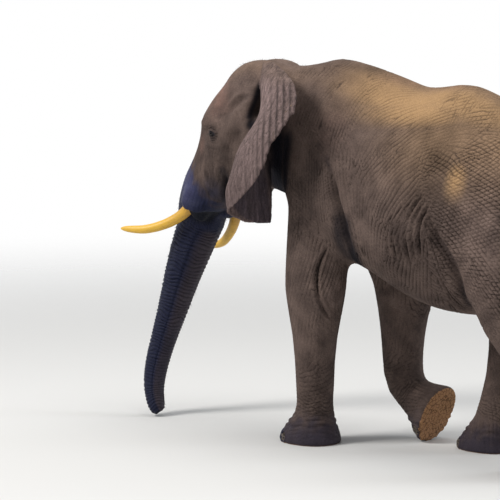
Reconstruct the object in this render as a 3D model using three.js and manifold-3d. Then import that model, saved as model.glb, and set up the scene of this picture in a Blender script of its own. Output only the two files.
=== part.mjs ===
// African bush elephant, adult bull, walking, at life size.
//
// Millimetres, +Z up. The animal faces -X and its left side faces -Y. The origin is on the
// ground under the middle of its bounding box. The flesh is modelled whole, as lofts joined
// into one solid, and is then parted by thin cuts where a person would name its parts. Eyes,
// tusks and nails are solids of their own, each sitting in a pocket in the flesh.

import * as THREE from "three";
import { mergeVertices } from "three/addons/utils/BufferGeometryUtils.js";
import Module from "manifold-3d";

const wasm = await Module();
wasm.setup();

// ---------------------------------------------------------------- driving dimensions

const CUT = 0.8; // gap between neighbouring solids
const REACH = 1500; // more than any cut has to span

const EYE_RADIUS = 20;
const EYE_PLACE = [-1045, 344, 2449]; // X, distance from the midline, Z
const EYE_SIDES = 8;

const TUSK_RADIUS = 58; // at the lip
const TUSK_SIDES = 10;
const TUSK_STEPS = 10;
const TUSK_TAPER = 0.42; // share of the radius lost evenly along it
const TUSK_POINT = 0.48; // share lost at the rounded tip

const EAR_THICK_ROOT = 34;
const EAR_THICK_EDGE = 14;
const EAR_ROWS = 14; // from the top of the ear to its lobe
const EAR_COLUMNS = 7; // from the root to the free edge

const NAIL_SIZE = [40, 34, 15]; // half width, half height, half depth
const NAIL_SIDES = 6;
const FORE_NAIL_ANGLES = [-52, -18, 18, 52]; // degrees from straight ahead
const HIND_NAIL_ANGLES = [-38, 0, 38];

// Sections of the trunk of the body, from the chest to the rump:
// X, top, underside, half width, level of the widest point, roundness of back and belly
const TORSO = [
  [-420, 2560, 2040, 190, 2250, 2.0, 2.0],
  [-350, 2850, 1880, 300, 2220, 2.0, 2.0],
  [-235, 3010, 1690, 400, 2180, 1.9, 2.1],
  [-80, 3085, 1520, 465, 2100, 1.75, 2.2],
  [60, 3106, 1480, 500, 2050, 1.7, 2.2],
  [260, 3072, 1470, 535, 2000, 1.75, 2.2],
  [520, 3010, 1395, 580, 1950, 1.85, 2.2],
  [900, 2893, 1225, 640, 1880, 1.95, 2.2],
  [1120, 2918, 1165, 650, 1880, 1.9, 2.2],
  [1320, 2945, 1140, 635, 1900, 1.8, 2.2],
  [1540, 2880, 1140, 600, 1950, 1.8, 2.2],
  [1780, 2760, 1210, 560, 2000, 1.9, 2.1],
  [2020, 2610, 1360, 500, 2020, 2.0, 2.0],
  [2220, 2410, 1560, 390, 2020, 2.0, 2.0],
  [2330, 2190, 1750, 220, 2000, 2.0, 2.0],
];
const TORSO_RINGS = 19;
const TORSO_SIDES = 20;

// Neck: centre X, Y, Z, lean in degrees, half sizes ahead, behind and to the side, squareness
const NECK = [
  [20, 0, 2380, 78, 620, 640, 400, 2.1],
  [-220, 0, 2430, 78, 520, 655, 385, 2.1],
  [-480, 0, 2470, 78, 490, 565, 355, 2.1],
  [-720, 0, 2500, 78, 510, 547, 320, 2.1],
  [-900, 0, 2510, 78, 420, 430, 250, 2.1],
];

const NECK_SIDES = 18;
const HEAD_SIDES = 20;
// Head, from the crown down to the trunk, in level sections
const HEAD = [
  [-700, 0, 3050, 0, 90, 110, 100, 2.0],
  [-720, 0, 3020, 0, 205, 240, 215, 2.0],
  [-730, 0, 2930, 0, 312, 330, 300, 2.1],
  [-745, 0, 2800, 0, 405, 400, 352, 2.2],
  [-790, 0, 2660, 0, 480, 400, 372, 2.3],
  [-830, 0, 2540, 0, 520, 400, 372, 2.4],
  [-850, 0, 2440, 0, 525, 400, 362, 2.4],
  [-880, 0, 2300, 0, 525, 380, 352, 2.4],
  [-960, 0, 2150, 0, 510, 380, 338, 2.4],
  [-1080, 0, 2010, 0, 460, 360, 305, 2.4],
  [-1220, 0, 1900, 0, 385, 300, 270, 2.4],
  [-1340, 0, 1800, 0, 300, 215, 240, 2.3],
  [-1440, 0, 1700, 0, 215, 190, 208, 2.1],
  [-1475, 0, 1620, 0, 190, 180, 192, 2.0],
];

// Hollows and swells of the face: place (Y from the midline), spread and height
const HEAD_FORMS = [
  [[-960, 370, 2680], 130, -42], // temple
  [[-700, 372, 2830], 120, -26], // behind the temple, above the ear root
  [[-1190, 300, 2560], 90, 24], // brow
  [[-900, 365, 2440], 130, 22], // cheekbone
  [[-1150, 290, 2330], 110, -26], // below the eye, behind the tusk root
];

// Lower jaw, from inside the cheeks forward to the pointed lip
const JAW = [
  [-850, 0, 2110, -62, 150, 190, 200, 2.2],
  [-900, 0, 2060, -62, 150, 210, 205, 2.2],
  [-1000, 0, 1960, -60, 125, 185, 170, 2.2],
  [-1090, 0, 1865, -56, 100, 130, 120, 2.1],
  [-1165, 0, 1775, -50, 66, 72, 74, 2.0],
  [-1205, 0, 1722, -48, 24, 24, 28, 2.0],
];

// Sheath of the tusk root on the left side of the face
const SHEATH = [
  [-1100, 165, 2420, -20, 70, 90, 60, 2.0],
  [-1195, 190, 2190, -23, 118, 130, 92, 2.0],
  [-1310, 210, 1985, -28, 122, 130, 98, 2.0],
  [-1398, 222, 1838, -34, 106, 110, 92, 2.0],
  [-1432, 228, 1786, -38, 84, 88, 80, 2.0],
];

const RIGHT_SHEATH_STEP = [22, -12]; // the right root sits further back and lower, by row

// Trunk, hanging and swung a little forward and to the left
const TRUNK = [
  [-1400, 0, 1800, -10, 210, 200, 205, 2.1],
  [-1470, 0, 1650, -22, 198, 188, 198, 2.0],
  [-1530, -22, 1490, -19, 182, 178, 190, 2.0],
  [-1582, -50, 1320, -16, 166, 164, 176, 2.0],
  [-1632, -80, 1140, -14, 148, 146, 156, 2.0],
  [-1676, -108, 960, -14, 133, 132, 139, 2.0],
  [-1718, -138, 790, -14, 120, 118, 125, 2.0],
  [-1758, -172, 620, -13, 108, 107, 112, 2.0],
  [-1790, -204, 450, -7, 101, 100, 105, 2.0],
  [-1800, -228, 310, 2, 93, 92, 97, 2.0],
  [-1786, -246, 190, 12, 82, 81, 86, 2.0],
  [-1752, -256, 95, 24, 74, 70, 78, 2.0],
  [-1722, -260, 44, 32, 56, 48, 60, 2.0],
];
const TRUNK_CUTS = [[-1475, 1655, -22], [-1605, 1235, -15], [-1720, 780, -14], [-1799, 330, 1]];

const LEG_SIDES = 14;
// Legs, from inside the body down to the sole
const FORELEG_LEFT = [
  [-40, -255, 2050, 0, 190, 230, 190, 2.0],
  [-10, -300, 1780, 0, 205, 290, 215, 2.1],
  [25, -325, 1500, 0, 238, 290, 225, 2.2],
  [40, -335, 1260, 0, 262, 258, 218, 2.2],
  [38, -335, 1080, 0, 232, 228, 195, 2.1],
  [30, -330, 880, 0, 192, 192, 172, 2.0],
  [26, -325, 660, 0, 165, 166, 158, 2.0],
  [26, -320, 480, 0, 158, 154, 153, 2.0],
  [24, -320, 330, 0, 146, 146, 146, 2.0],
  [20, -320, 240, 0, 162, 160, 156, 2.0],
  [0, -320, 150, 0, 216, 198, 188, 2.1],
  [-6, -320, 70, 0, 262, 232, 214, 2.2],
  [-6, -320, 18, 0, 278, 244, 224, 2.2],
  [-6, -320, 0, 0, 268, 234, 215, 2.2],
];

// The right forefoot is coming off the ground: folded back at the wrist, toe tip still down
const FORELEG_RIGHT = [
  [60, 255, 2050, 0, 190, 230, 190, 2.0],
  [150, 300, 1780, 0, 250, 290, 215, 2.1],
  [300, 322, 1500, 0, 268, 280, 220, 2.2],
  [415, 333, 1260, 0, 250, 250, 212, 2.2],
  [425, 333, 1060, 0, 222, 218, 190, 2.1],
  [420, 332, 860, 0, 190, 190, 170, 2.0],
  [420, 330, 690, 4, 172, 172, 160, 2.0],
  [428, 330, 560, 14, 168, 166, 158, 2.0],
  [462, 330, 450, 34, 162, 158, 156, 2.0],
  [530, 330, 375, 54, 152, 148, 154, 2.0],
  [590, 330, 335, 64, 164, 158, 164, 2.0],
  [668, 330, 286, 68, 212, 196, 190, 2.1],
  [734, 330, 254, 68, 252, 226, 214, 2.2],
  [770, 330, 238, 68, 264, 236, 222, 2.2],
  [785, 330, 232, 68, 254, 226, 212, 2.2],
];

// Right hind leg, just set down ahead; left hind leg, stretched back near the end of its step
const HINDLEG_RIGHT = [
  [1790, 230, 2250, 0, 320, 330, 240, 2.0],
  [1770, 300, 1950, 0, 390, 400, 265, 2.1],
  [1720, 340, 1620, 0, 400, 400, 270, 2.2],
  [1650, 355, 1330, 0, 340, 340, 250, 2.2],
  [1570, 352, 1060, 0, 268, 275, 218, 2.1],
  [1515, 346, 840, 0, 212, 232, 186, 2.0],
  [1458, 340, 620, 0, 180, 190, 160, 2.0],
  [1395, 335, 420, 0, 168, 172, 148, 2.0],
  [1352, 332, 270, 0, 176, 176, 150, 2.0],
  [1312, 330, 150, 0, 226, 212, 178, 2.1],
  [1288, 330, 65, 0, 262, 240, 200, 2.2],
  [1282, 330, 18, 0, 270, 246, 206, 2.2],
  [1282, 330, 0, 0, 260, 236, 198, 2.2],
];
const HINDLEG_LEFT = [
  [1830, -230, 2250, 0, 320, 330, 240, 2.0],
  [1860, -300, 1950, 0, 400, 390, 265, 2.1],
  [1920, -340, 1620, 0, 400, 380, 270, 2.2],
  [2010, -355, 1330, 0, 400, 325, 250, 2.2],
  [2100, -352, 1080, 0, 345, 270, 218, 2.1],
  [2165, -346, 870, 0, 232, 226, 186, 2.0],
  [2225, -340, 620, 0, 180, 190, 160, 2.0],
  [2262, -335, 420, 0, 166, 172, 148, 2.0],
  [2262, -332, 270, 0, 172, 172, 150, 2.0],
  [2235, -330, 150, 0, 220, 206, 178, 2.1],
  [2215, -330, 65, 0, 260, 236, 200, 2.2],
  [2210, -330, 18, 0, 270, 244, 206, 2.2],
  [2210, -330, 0, 0, 260, 234, 198, 2.2],
];

// Tail: centre X, Y, Z and radius
const TAIL = [
  [2060, 0, 2420, 100],
  [2220, 0, 2395, 88],
  [2350, 2, 2310, 66],
  [2428, 4, 2150, 50],
  [2468, 8, 1930, 39],
  [2484, 12, 1680, 31],
  [2486, 16, 1420, 25],
  [2484, 18, 1240, 22],
];
const TUFT = [
  [2484, 18, 1239, 24],
  [2482, 20, 1130, 38],
  [2480, 22, 1000, 40],
  [2476, 24, 880, 26],
  [2474, 24, 800, 8],
];

// Tusks: centre X, distance from the midline, Z; the left one reaches further forward
const TUSK_LEFT = [
  [-1318, 220, 1950],
  [-1372, 224, 1850],
  [-1452, 246, 1752],
  [-1590, 305, 1663],
  [-1770, 378, 1608],
  [-1985, 440, 1605],
];
const TUSK_RIGHT = [
  [-1232, 228, 1930],
  [-1268, 240, 1835],
  [-1338, 288, 1668],
  [-1438, 346, 1548],
  [-1570, 400, 1445],
  [-1720, 432, 1393],
];

// Left ear: where each row leaves the head, turns back, and ends in the free edge
const RIGHT_EAR_DROP = 75; // the right ear hangs slacker, most at its top
const EAR_ROOT = [
  [-615, -190, 3010],
  [-560, -280, 2880],
  [-520, -312, 2660],
  [-480, -322, 2430],
  [-440, -335, 2235],
  [-395, -372, 2010],
  [-372, -400, 1860],
  [-365, -415, 1765],
];
const EAR_FOLD = [
  [-560, -240, 3062],
  [-430, -440, 2930],
  [-420, -545, 2664],
  [-448, -700, 2400],
  [-452, -790, 2195],
  [-485, -805, 2020],
  [-490, -720, 1870],
  [-430, -560, 1775],
];
const EAR_EDGE = [
  [-440, -290, 3062],
  [50, -590, 2880],
  [118, -740, 2650],
  [40, -885, 2433],
  [-105, -930, 2185],
  [-330, -900, 2000],
  [-495, -820, 1893],
  [-470, -650, 1800],
];

const SKIN = 0x6d625b;
const SKIN_DARK = 0x3b3a3e;
const IVORY = 0xe3c995;
const HORN = 0x8b7c69;
const EYE = 0x1c120c;
const HAIR = 0x1d1a19;

// ---------------------------------------------------------------- lofts

// Sizes at a place between rows: cubic through the rows, or clamped at the ends.
function between(rows, place) {
  const index = Math.min(Math.floor(place), rows.length - 2);
  const part = place - index;
  const before = rows[Math.max(index - 1, 0)];
  const after = rows[Math.min(index + 2, rows.length - 1)];
  return rows[index].map((start, column) => {
    const end = rows[index + 1][column];
    const leaving = (end - before[column]) / 2;
    const arriving = (after[column] - start) / 2;
    const square = part * part;
    const cube = square * part;
    return (2 * cube - 3 * square + 1) * start + (cube - 2 * square + part) * leaving
      + (3 * square - 2 * cube) * end + (cube - square) * arriving;
  });
}

function signedPower(value, power) {
  return Math.sign(value) * Math.abs(value) ** power;
}

// One ring across the body: back and belly have their own height and roundness.
function bodyRing(sizes, sides, grow) {
  const [x, top, under, half, level, backRound, bellyRound] = sizes;
  return Array.from({ length: sides }, (_, side) => {
    const angle = (2 * Math.PI * side) / sides;
    const up = Math.sin(angle) > 0;
    const height = (up ? top - level : level - under) + grow;
    const round = up ? backRound : bellyRound;
    const y = (half + grow) * signedPower(Math.cos(angle), 2 / round);
    const z = level + height * signedPower(Math.sin(angle), 2 / round);
    return new THREE.Vector3(x, y, z);
  });
}

// One ring across a limb, the head or the trunk. At no lean it lies level; leaning swings its
// lower side towards the tail, as a foot folds back at the wrist.
function limbRing(sizes, sides, grow) {
  const [x, y, z, lean, ahead, behind, half, square] = sizes;
  const swing = THREE.MathUtils.degToRad(lean);
  const fore = new THREE.Vector3(-Math.cos(swing), 0, -Math.sin(swing));
  return Array.from({ length: sides }, (_, side) => {
    const angle = (2 * Math.PI * side) / sides;
    const forward = signedPower(Math.cos(angle), 2 / square);
    const along = forward * ((forward > 0 ? ahead : behind) + grow);
    const across = signedPower(Math.sin(angle), 2 / square) * (half + grow);
    return new THREE.Vector3(x, y + across, z).addScaledVector(fore, along);
  });
}

function middleOf(ring) {
  const sum = ring.reduce((total, point) => total.add(point), new THREE.Vector3());
  return sum.divideScalar(ring.length);
}

// Closed skin over a row of rings, with a fan over each end ring. A grown one is longer too.
function loft(rings, grow = 0) {
  const sides = rings[0].length;
  for (const [end, inner] of [[rings[0], rings[1]], [rings.at(-1), rings.at(-2)]]) {
    const outward = middleOf(end).sub(middleOf(inner)).setLength(grow);
    end.forEach((point) => point.add(outward));
  }
  const points = rings.flat();
  const faces = [];
  for (let ring = 0; ring < rings.length - 1; ring += 1) {
    for (let side = 0; side < sides; side += 1) {
      const next = (side + 1) % sides;
      const [a, b] = [ring * sides + side, ring * sides + next];
      faces.push(a, b, b + sides, a, b + sides, a + sides);
    }
  }
  for (const ring of [0, rings.length - 1]) {
    const hub = points.push(middleOf(rings[ring])) - 1;
    for (let side = 0; side < sides; side += 1) {
      const [a, b] = [ring * sides + side, ring * sides + ((side + 1) % sides)];
      faces.push(...(ring === 0 ? [hub, b, a] : [hub, a, b]));
    }
  }
  const geometry = new THREE.BufferGeometry().setFromPoints(points);
  geometry.setIndex(faces);
  return geometry;
}

// Pushes the points of the head in or out from its axis, both sides alike.
function shapeHead(ring, axis) {
  return ring.map((point) => {
    const out = point.clone().sub(axis).setZ(0).normalize();
    const push = HEAD_FORMS.reduce((sum, [[x, y, z], spread, height]) => {
      const away = new THREE.Vector3(x, y, z).distanceTo(point.clone().setY(Math.abs(point.y)));
      return sum + height * Math.exp(-((away / spread) ** 2));
    }, 0);
    return point.addScaledVector(out, push);
  });
}

function head(grow = 0) {
  const steps = (HEAD.length - 1) * 2;
  const rings = Array.from({ length: steps + 1 }, (_, step) => {
    const sizes = between(HEAD, step / 2);
    return shapeHead(limbRing(sizes, HEAD_SIDES, grow), new THREE.Vector3(...sizes.slice(0, 3)));
  });
  return loft(rings, grow);
}

function limb(rows, sides, perRow, grow = 0) {
  const steps = (rows.length - 1) * perRow;
  const rings = Array.from({ length: steps + 1 }, (_, step) => (
    limbRing(between(rows, step / perRow), sides, grow)
  ));
  return loft(rings, grow);
}

function torso(grow = 0) {
  const last = TORSO.length - 1;
  const rings = Array.from({ length: TORSO_RINGS }, (_, step) => (
    bodyRing(between(TORSO, (step * last) / (TORSO_RINGS - 1)), TORSO_SIDES, grow)
  ));
  return loft(rings, grow);
}

// Round section swept along a curve, its radius given for each place from 0 to 1.
function sweep(points, radiusAt, steps, sides, grow = 0) {
  const curve = new THREE.CatmullRomCurve3(points);
  const frames = curve.computeFrenetFrames(steps, false);
  const rings = Array.from({ length: steps + 1 }, (_, step) => {
    const place = step / steps;
    const centre = curve.getPointAt(place);
    const radius = radiusAt(place) + grow;
    return Array.from({ length: sides }, (__, side) => {
      const angle = (2 * Math.PI * side) / sides;
      return centre.clone()
        .addScaledVector(frames.normals[step], radius * Math.cos(angle))
        .addScaledVector(frames.binormals[step], radius * Math.sin(angle));
    });
  });
  return loft(rings, grow);
}

// ---------------------------------------------------------------- joining and cutting

function solidOf(geometry) {
  const bare = geometry.clone();
  bare.deleteAttribute("normal");
  bare.deleteAttribute("uv");
  const welded = mergeVertices(bare, 1e-3);
  const solid = new wasm.Manifold(new wasm.Mesh({
    numProp: 3,
    vertProperties: new Float32Array(welded.attributes.position.array),
    triVerts: new Uint32Array(welded.index.array),
  }));
  if (solid.volume() > 0) return solid;
  const flipped = welded.index.array.map((_, i, all) => all[i - (i % 3) + 2 - (i % 3)]);
  return new wasm.Manifold(new wasm.Mesh({
    numProp: 3,
    vertProperties: new Float32Array(welded.attributes.position.array),
    triVerts: new Uint32Array(flipped),
  }));
}

function geometryOf(solid) {
  const mesh = solid.getMesh();
  const geometry = new THREE.BufferGeometry();
  geometry.setAttribute("position", new THREE.BufferAttribute(mesh.vertProperties, 3));
  geometry.setIndex(new THREE.BufferAttribute(mesh.triVerts, 1));
  return geometry;
}

function box(size, centre, lean = 0, grow = 0) {
  const geometry = new THREE.BoxGeometry(...size.map((length) => length + 2 * grow));
  geometry.rotateY(THREE.MathUtils.degToRad(lean));
  geometry.translate(...centre);
  return solidOf(geometry);
}

function largestOf(solid) {
  return solid.decompose().reduce((best, one) => (one.volume() > best.volume() ? one : best));
}

function mirrored(rows) {
  return rows.map(([x, y, ...rest]) => [x, -y, ...rest]);
}

// Box with one face through a point, reaching away from that face along its local axis.
function reachFrom(point, lean, axis, size) {
  const away = new THREE.Vector3(...axis).applyAxisAngle(
    new THREE.Vector3(0, 1, 0),
    THREE.MathUtils.degToRad(lean),
  );
  const depth = Math.abs(axis[0] * size[0] + axis[2] * size[2]);
  return (grow) => {
    const centre = new THREE.Vector3(...point).addScaledVector(away, depth / 2);
    return box(size, centre.toArray(), lean, grow);
  };
}

// Takes from the flesh what lies in a region, leaving a thin gap all round.
function take(stock, region) {
  const piece = largestOf(stock.flesh.intersect(region(0)));
  stock.flesh = stock.flesh.subtract(region(CUT));
  return piece;
}

// ---------------------------------------------------------------- the pieces

const side = (name) => (name === "left" ? -1 : 1);

function tusk(name, grow = 0) {
  const rows = name === "left" ? TUSK_LEFT : TUSK_RIGHT;
  const points = rows.map(([x, y, z]) => new THREE.Vector3(x, side(name) * y, z));
  const radiusAt = (place) => TUSK_RADIUS * (1 - TUSK_TAPER * place - TUSK_POINT * place ** 16);
  return solidOf(sweep(points, radiusAt, TUSK_STEPS, TUSK_SIDES, grow));
}

function eye(name, grow = 0) {
  const [x, y, z] = EYE_PLACE;
  const geometry = new THREE.SphereGeometry(EYE_RADIUS + grow, EYE_SIDES, EYE_SIDES / 2 + 2);
  geometry.translate(x, side(name) * y, z);
  return solidOf(geometry);
}

function tapered(rows, steps, sides) {
  const points = rows.map(([x, y, z]) => new THREE.Vector3(x, y, z));
  const radiusAt = (place) => between(rows, place * (rows.length - 1))[3];
  return solidOf(sweep(points, radiusAt, steps, sides));
}

// Ear: a thin closed sheet over rows that each run from the root round the fold to the edge.
function ear(name) {
  const centreAt = (row, column) => {
    const level = (row / EAR_ROWS) * (EAR_ROOT.length - 1);
    const across = new THREE.CatmullRomCurve3(
      [EAR_ROOT, EAR_FOLD, EAR_EDGE].map((curve) => new THREE.Vector3(...between(curve, level))),
    );
    const point = across.getPoint(column / EAR_COLUMNS);
    if (name === "right") point.z -= RIGHT_EAR_DROP * (1 - row / EAR_ROWS);
    return point;
  };
  const nudge = 0.01;
  const normalAt = (row, column) => {
    const down = centreAt(Math.min(row + nudge, EAR_ROWS), column)
      .sub(centreAt(Math.max(row - nudge, 0), column));
    const out = centreAt(row, Math.min(column + nudge, EAR_COLUMNS))
      .sub(centreAt(row, Math.max(column - nudge, 0)));
    return down.cross(out).normalize();
  };
  const layer = (sign) => Array.from({ length: EAR_ROWS + 1 }, (_, row) => (
    Array.from({ length: EAR_COLUMNS + 1 }, (__, column) => {
      const place = column / EAR_COLUMNS;
      const thick = THREE.MathUtils.lerp(EAR_THICK_ROOT, EAR_THICK_EDGE, Math.sqrt(place));
      return centreAt(row, column).addScaledVector(normalAt(row, column), (sign * thick) / 2);
    })
  ));
  const width = EAR_COLUMNS + 1;
  const points = [...layer(1), ...layer(-1)].flat();
  const faces = [];
  const quad = (a, b, c, d) => faces.push(a, b, c, a, c, d);
  const front = (row, column) => row * width + column;
  const back = (row, column) => (EAR_ROWS + 1 + row) * width + column;
  for (let row = 0; row < EAR_ROWS; row += 1) {
    for (let column = 0; column < EAR_COLUMNS; column += 1) {
      const corners = [[row, column], [row + 1, column], [row + 1, column + 1], [row, column + 1]];
      quad(...corners.map((corner) => front(...corner)));
      quad(...corners.map((corner) => back(...corner)).reverse());
    }
    quad(front(row + 1, 0), front(row, 0), back(row, 0), back(row + 1, 0));
    const last = EAR_COLUMNS;
    quad(front(row, last), front(row + 1, last), back(row + 1, last), back(row, last));
  }
  for (let column = 0; column < EAR_COLUMNS; column += 1) {
    const last = EAR_ROWS;
    quad(front(0, column), front(0, column + 1), back(0, column + 1), back(0, column));
    quad(front(last, column + 1), front(last, column), back(last, column), back(last, column + 1));
  }
  const geometry = new THREE.BufferGeometry().setFromPoints(points);
  geometry.setIndex(faces);
  if (name === "right") geometry.scale(1, -1, 1);
  return solidOf(geometry);
}

// Nails stand round the front of a foot, a little proud of it.
function nails(legRows, angles, grow = 0) {
  const [x, y, z, lean] = legRows.at(-1);
  const [, , , , ahead, , half] = legRows.at(-3);
  return angles.map((degrees) => {
    const angle = THREE.MathUtils.degToRad(degrees);
    const [wide, tall, deep] = NAIL_SIZE.map((size) => size + grow);
    const geometry = new THREE.SphereGeometry(1, NAIL_SIDES, 4);
    geometry.scale(deep, wide, tall);
    geometry.rotateZ(-Math.atan2(Math.sin(angle) * ahead, Math.cos(angle) * half));
    geometry.translate(-ahead * Math.cos(angle), half * Math.sin(angle), 44);
    geometry.rotateY(-THREE.MathUtils.degToRad(lean));
    geometry.translate(x, y, z);
    return solidOf(geometry);
  });
}

const LEGS = {
  forefoot_left: [FORELEG_LEFT, FORE_NAIL_ANGLES],
  forefoot_right: [FORELEG_RIGHT, FORE_NAIL_ANGLES],
  hindfoot_left: [HINDLEG_LEFT, HIND_NAIL_ANGLES],
  hindfoot_right: [HINDLEG_RIGHT, HIND_NAIL_ANGLES],
};

const headAndBody = (grow) => [
  torso(grow),
  limb(NECK, NECK_SIDES, 1, grow),
  head(grow),
].map(solidOf);

const RIGHT_SHEATH = mirrored(SHEATH).map(([x, y, z, ...rest], row) => (
  [x + row * RIGHT_SHEATH_STEP[0], y, z + row * RIGHT_SHEATH_STEP[1], ...rest]
));
const limbs = [
  limb(SHEATH, 10, 1),
  limb(RIGHT_SHEATH, 10, 1),
  limb(TRUNK, 12, 2),
  ...Object.values(LEGS).map(([rows]) => limb(rows, LEG_SIDES, 1)),
].map(solidOf);

const pockets = [
  solidOf(limb(JAW, 12, 1, CUT)),
  ...["left", "right"].flatMap((name) => [eye(name, CUT), tusk(name, CUT)]),
  ...Object.values(LEGS).flatMap(([rows, angles]) => nails(rows, angles, CUT)),
];

const stock = {
  flesh: [...headAndBody(0), ...limbs, tapered(TAIL, 10, 8)]
    .reduce((whole, one) => whole.add(one)),
};
pockets.push(box([9000, 3000, REACH], [0, 0, -REACH / 2])); // the ground trims the soles level
pockets.forEach((pocket) => {
  stock.flesh = stock.flesh.subtract(pocket);
});

const pieces = {};
const DOWN = [0, 0, -1];
const AHEAD = [-1, 0, 0];
const TRUNK_NAMES = ["trunk_upper", "trunk_upper_middle", "trunk_lower_middle", "trunk_tip"];
[...TRUNK_CUTS.keys()].reverse().forEach((index) => {
  const [x, z, lean] = TRUNK_CUTS[index];
  pieces[TRUNK_NAMES[index]] = take(stock, reachFrom([x, 0, z], -lean, DOWN, [900, 900, 1900]));
});

const NECK_LEAN = 12;
pieces.head = take(stock, reachFrom([-560, 0, 2450], NECK_LEAN, AHEAD, [REACH, REACH, 2200]));
pieces.jaw = solidOf(limb(JAW, 12, 1));
pieces.neck = take(stock, reachFrom([-215, 0, 2350], NECK_LEAN, AHEAD, [REACH, REACH, 1700]));

// Regions of the legs: lowest and highest corner of each, the left ones on the -Y side
const REGIONS = {
  forefoot_left: [[-400, -800, -100], [500, -20, 500]],
  foreleg_left: [[-450, -800, -100], [600, -20, 1290]],
  foreleg_right: [[80, 20, -100], [780, 800, 1290]],
  hindfoot_left: [[1700, -800, -100], [2700, -40, 330]],
  hindleg_left_shank: [[1700, -800, -100], [2700, -40, 1000]],
  hindleg_left_thigh: [[1560, -900, -100], [2700, -60, 1580]],
  hindfoot_right: [[1000, 40, -100], [2000, 800, 330]],
  hindleg_right_shank: [[1000, 40, -100], [2100, 800, 1000]],
  hindleg_right_thigh: [[1290, 60, -100], [2700, 900, 1480]],
  tail: [[2385, -90, 1200], [2800, 110, 2600]],
};
pieces.forefoot_right = take(stock, reachFrom([425, 330, 560], -14, DOWN, [800, 600, 900]));
Object.entries(REGIONS).forEach(([name, [low, high]]) => {
  const size = low.map((value, axis) => high[axis] - value);
  const centre = low.map((value, axis) => (high[axis] + value) / 2);
  pieces[name] = take(stock, (grow) => box(size, centre, 0, grow));
});
pieces.torso = largestOf(stock.flesh);
pieces.tail_tuft = tapered(TUFT, 7, 8);

const grown = headAndBody(CUT).reduce((whole, one) => whole.add(one));
["left", "right"].forEach((name) => {
  pieces[`ear_${name}`] = largestOf(ear(name).subtract(grown));
  pieces[`eye_${name}`] = eye(name);
  pieces[`tusk_${name}`] = tusk(name);
});
Object.entries(LEGS).forEach(([foot, [rows, angles]]) => {
  nails(rows, angles).forEach((nail, index) => {
    pieces[`nail_${foot}_${index + 1}`] = nail;
  });
});

// ---------------------------------------------------------------- finishes

function finishOf(name) {
  if (name.startsWith("tusk")) return { color: IVORY, roughness: 0.38 };
  if (name.startsWith("nail")) return { color: HORN, roughness: 0.6 };
  if (name.startsWith("eye")) return { color: EYE, roughness: 0.12 };
  if (name === "tail_tuft") return { color: HAIR, roughness: 0.6 };
  const dark = name.startsWith("trunk") || name.includes("foot") || name === "jaw";
  return { color: dark ? SKIN_DARK : SKIN, roughness: dark ? 0.55 : 0.85 };
}

const elephant = new THREE.Group();
Object.entries(pieces).forEach(([name, solid]) => {
  const finish = new THREE.MeshStandardMaterial({ ...finishOf(name), metalness: 0 });
  const mesh = new THREE.Mesh(geometryOf(solid), finish);
  mesh.name = name;
  elephant.add(mesh);
});
elephant.updateMatrixWorld(true);
const middle = new THREE.Box3().setFromObject(elephant).getCenter(new THREE.Vector3());
elephant.position.set(-middle.x, -middle.y, 0);

export default elephant;
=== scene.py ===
"""African bush elephant, adult bull, walking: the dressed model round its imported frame.

Metres, +Z up. The animal faces -X and its left side faces -Y. One skin stands for all the
flesh; eyes, tusks, nails and bristles are pieces of their own.
"""

import math

import bmesh
import bpy
import numpy as np
from bpy.props import FloatProperty, FloatVectorProperty, IntProperty, PointerProperty
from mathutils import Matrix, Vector
from mathutils.kdtree import KDTree


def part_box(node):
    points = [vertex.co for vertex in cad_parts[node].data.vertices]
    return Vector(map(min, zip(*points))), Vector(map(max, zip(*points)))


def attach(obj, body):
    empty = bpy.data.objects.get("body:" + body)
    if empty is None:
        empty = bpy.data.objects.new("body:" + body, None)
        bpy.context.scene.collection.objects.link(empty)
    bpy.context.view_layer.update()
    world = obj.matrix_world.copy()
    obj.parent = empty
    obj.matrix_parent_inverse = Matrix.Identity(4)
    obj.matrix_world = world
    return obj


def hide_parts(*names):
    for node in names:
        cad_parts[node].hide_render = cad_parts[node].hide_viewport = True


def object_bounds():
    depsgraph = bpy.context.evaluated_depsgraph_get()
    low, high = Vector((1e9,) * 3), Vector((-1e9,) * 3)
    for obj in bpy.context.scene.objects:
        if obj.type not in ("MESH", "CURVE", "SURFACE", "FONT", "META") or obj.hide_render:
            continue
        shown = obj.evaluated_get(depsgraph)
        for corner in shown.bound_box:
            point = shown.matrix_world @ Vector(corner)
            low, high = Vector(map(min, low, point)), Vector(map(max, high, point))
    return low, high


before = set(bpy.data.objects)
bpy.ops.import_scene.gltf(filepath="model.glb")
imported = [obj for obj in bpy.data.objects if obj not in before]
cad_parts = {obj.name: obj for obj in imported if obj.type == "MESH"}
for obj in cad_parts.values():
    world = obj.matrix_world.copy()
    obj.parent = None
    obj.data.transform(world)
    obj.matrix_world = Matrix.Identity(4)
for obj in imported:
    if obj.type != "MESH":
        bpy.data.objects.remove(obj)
CAD_LOW, CAD_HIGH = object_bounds()

bl_info = {
    "name": "African bush elephant",
    "version": (1, 0, 0),
    "blender": (4, 5, 0),
    "location": "3D View > Sidebar > Elephant",
    "description": "Builds a walking bull elephant, its hide, tusks and bristles, and the stage",
    "category": "Object",
}

BODY = "root"
MARGIN = 0.0005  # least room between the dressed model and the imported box
SIDES = {"left": -1, "right": 1}
FLESH_PREFIXES = ("torso", "neck", "head", "jaw", "trunk", "foreleg", "forefoot", "hind", "tail")
EAR_NODES = ("ear_left", "ear_right")
FLESH = sorted(
    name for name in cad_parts
    if name.startswith(FLESH_PREFIXES) and name != "tail_tuft"
)
NAILS = [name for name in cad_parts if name.startswith("nail")]

# ---------------------------------------------------------------- the body's own places

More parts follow.
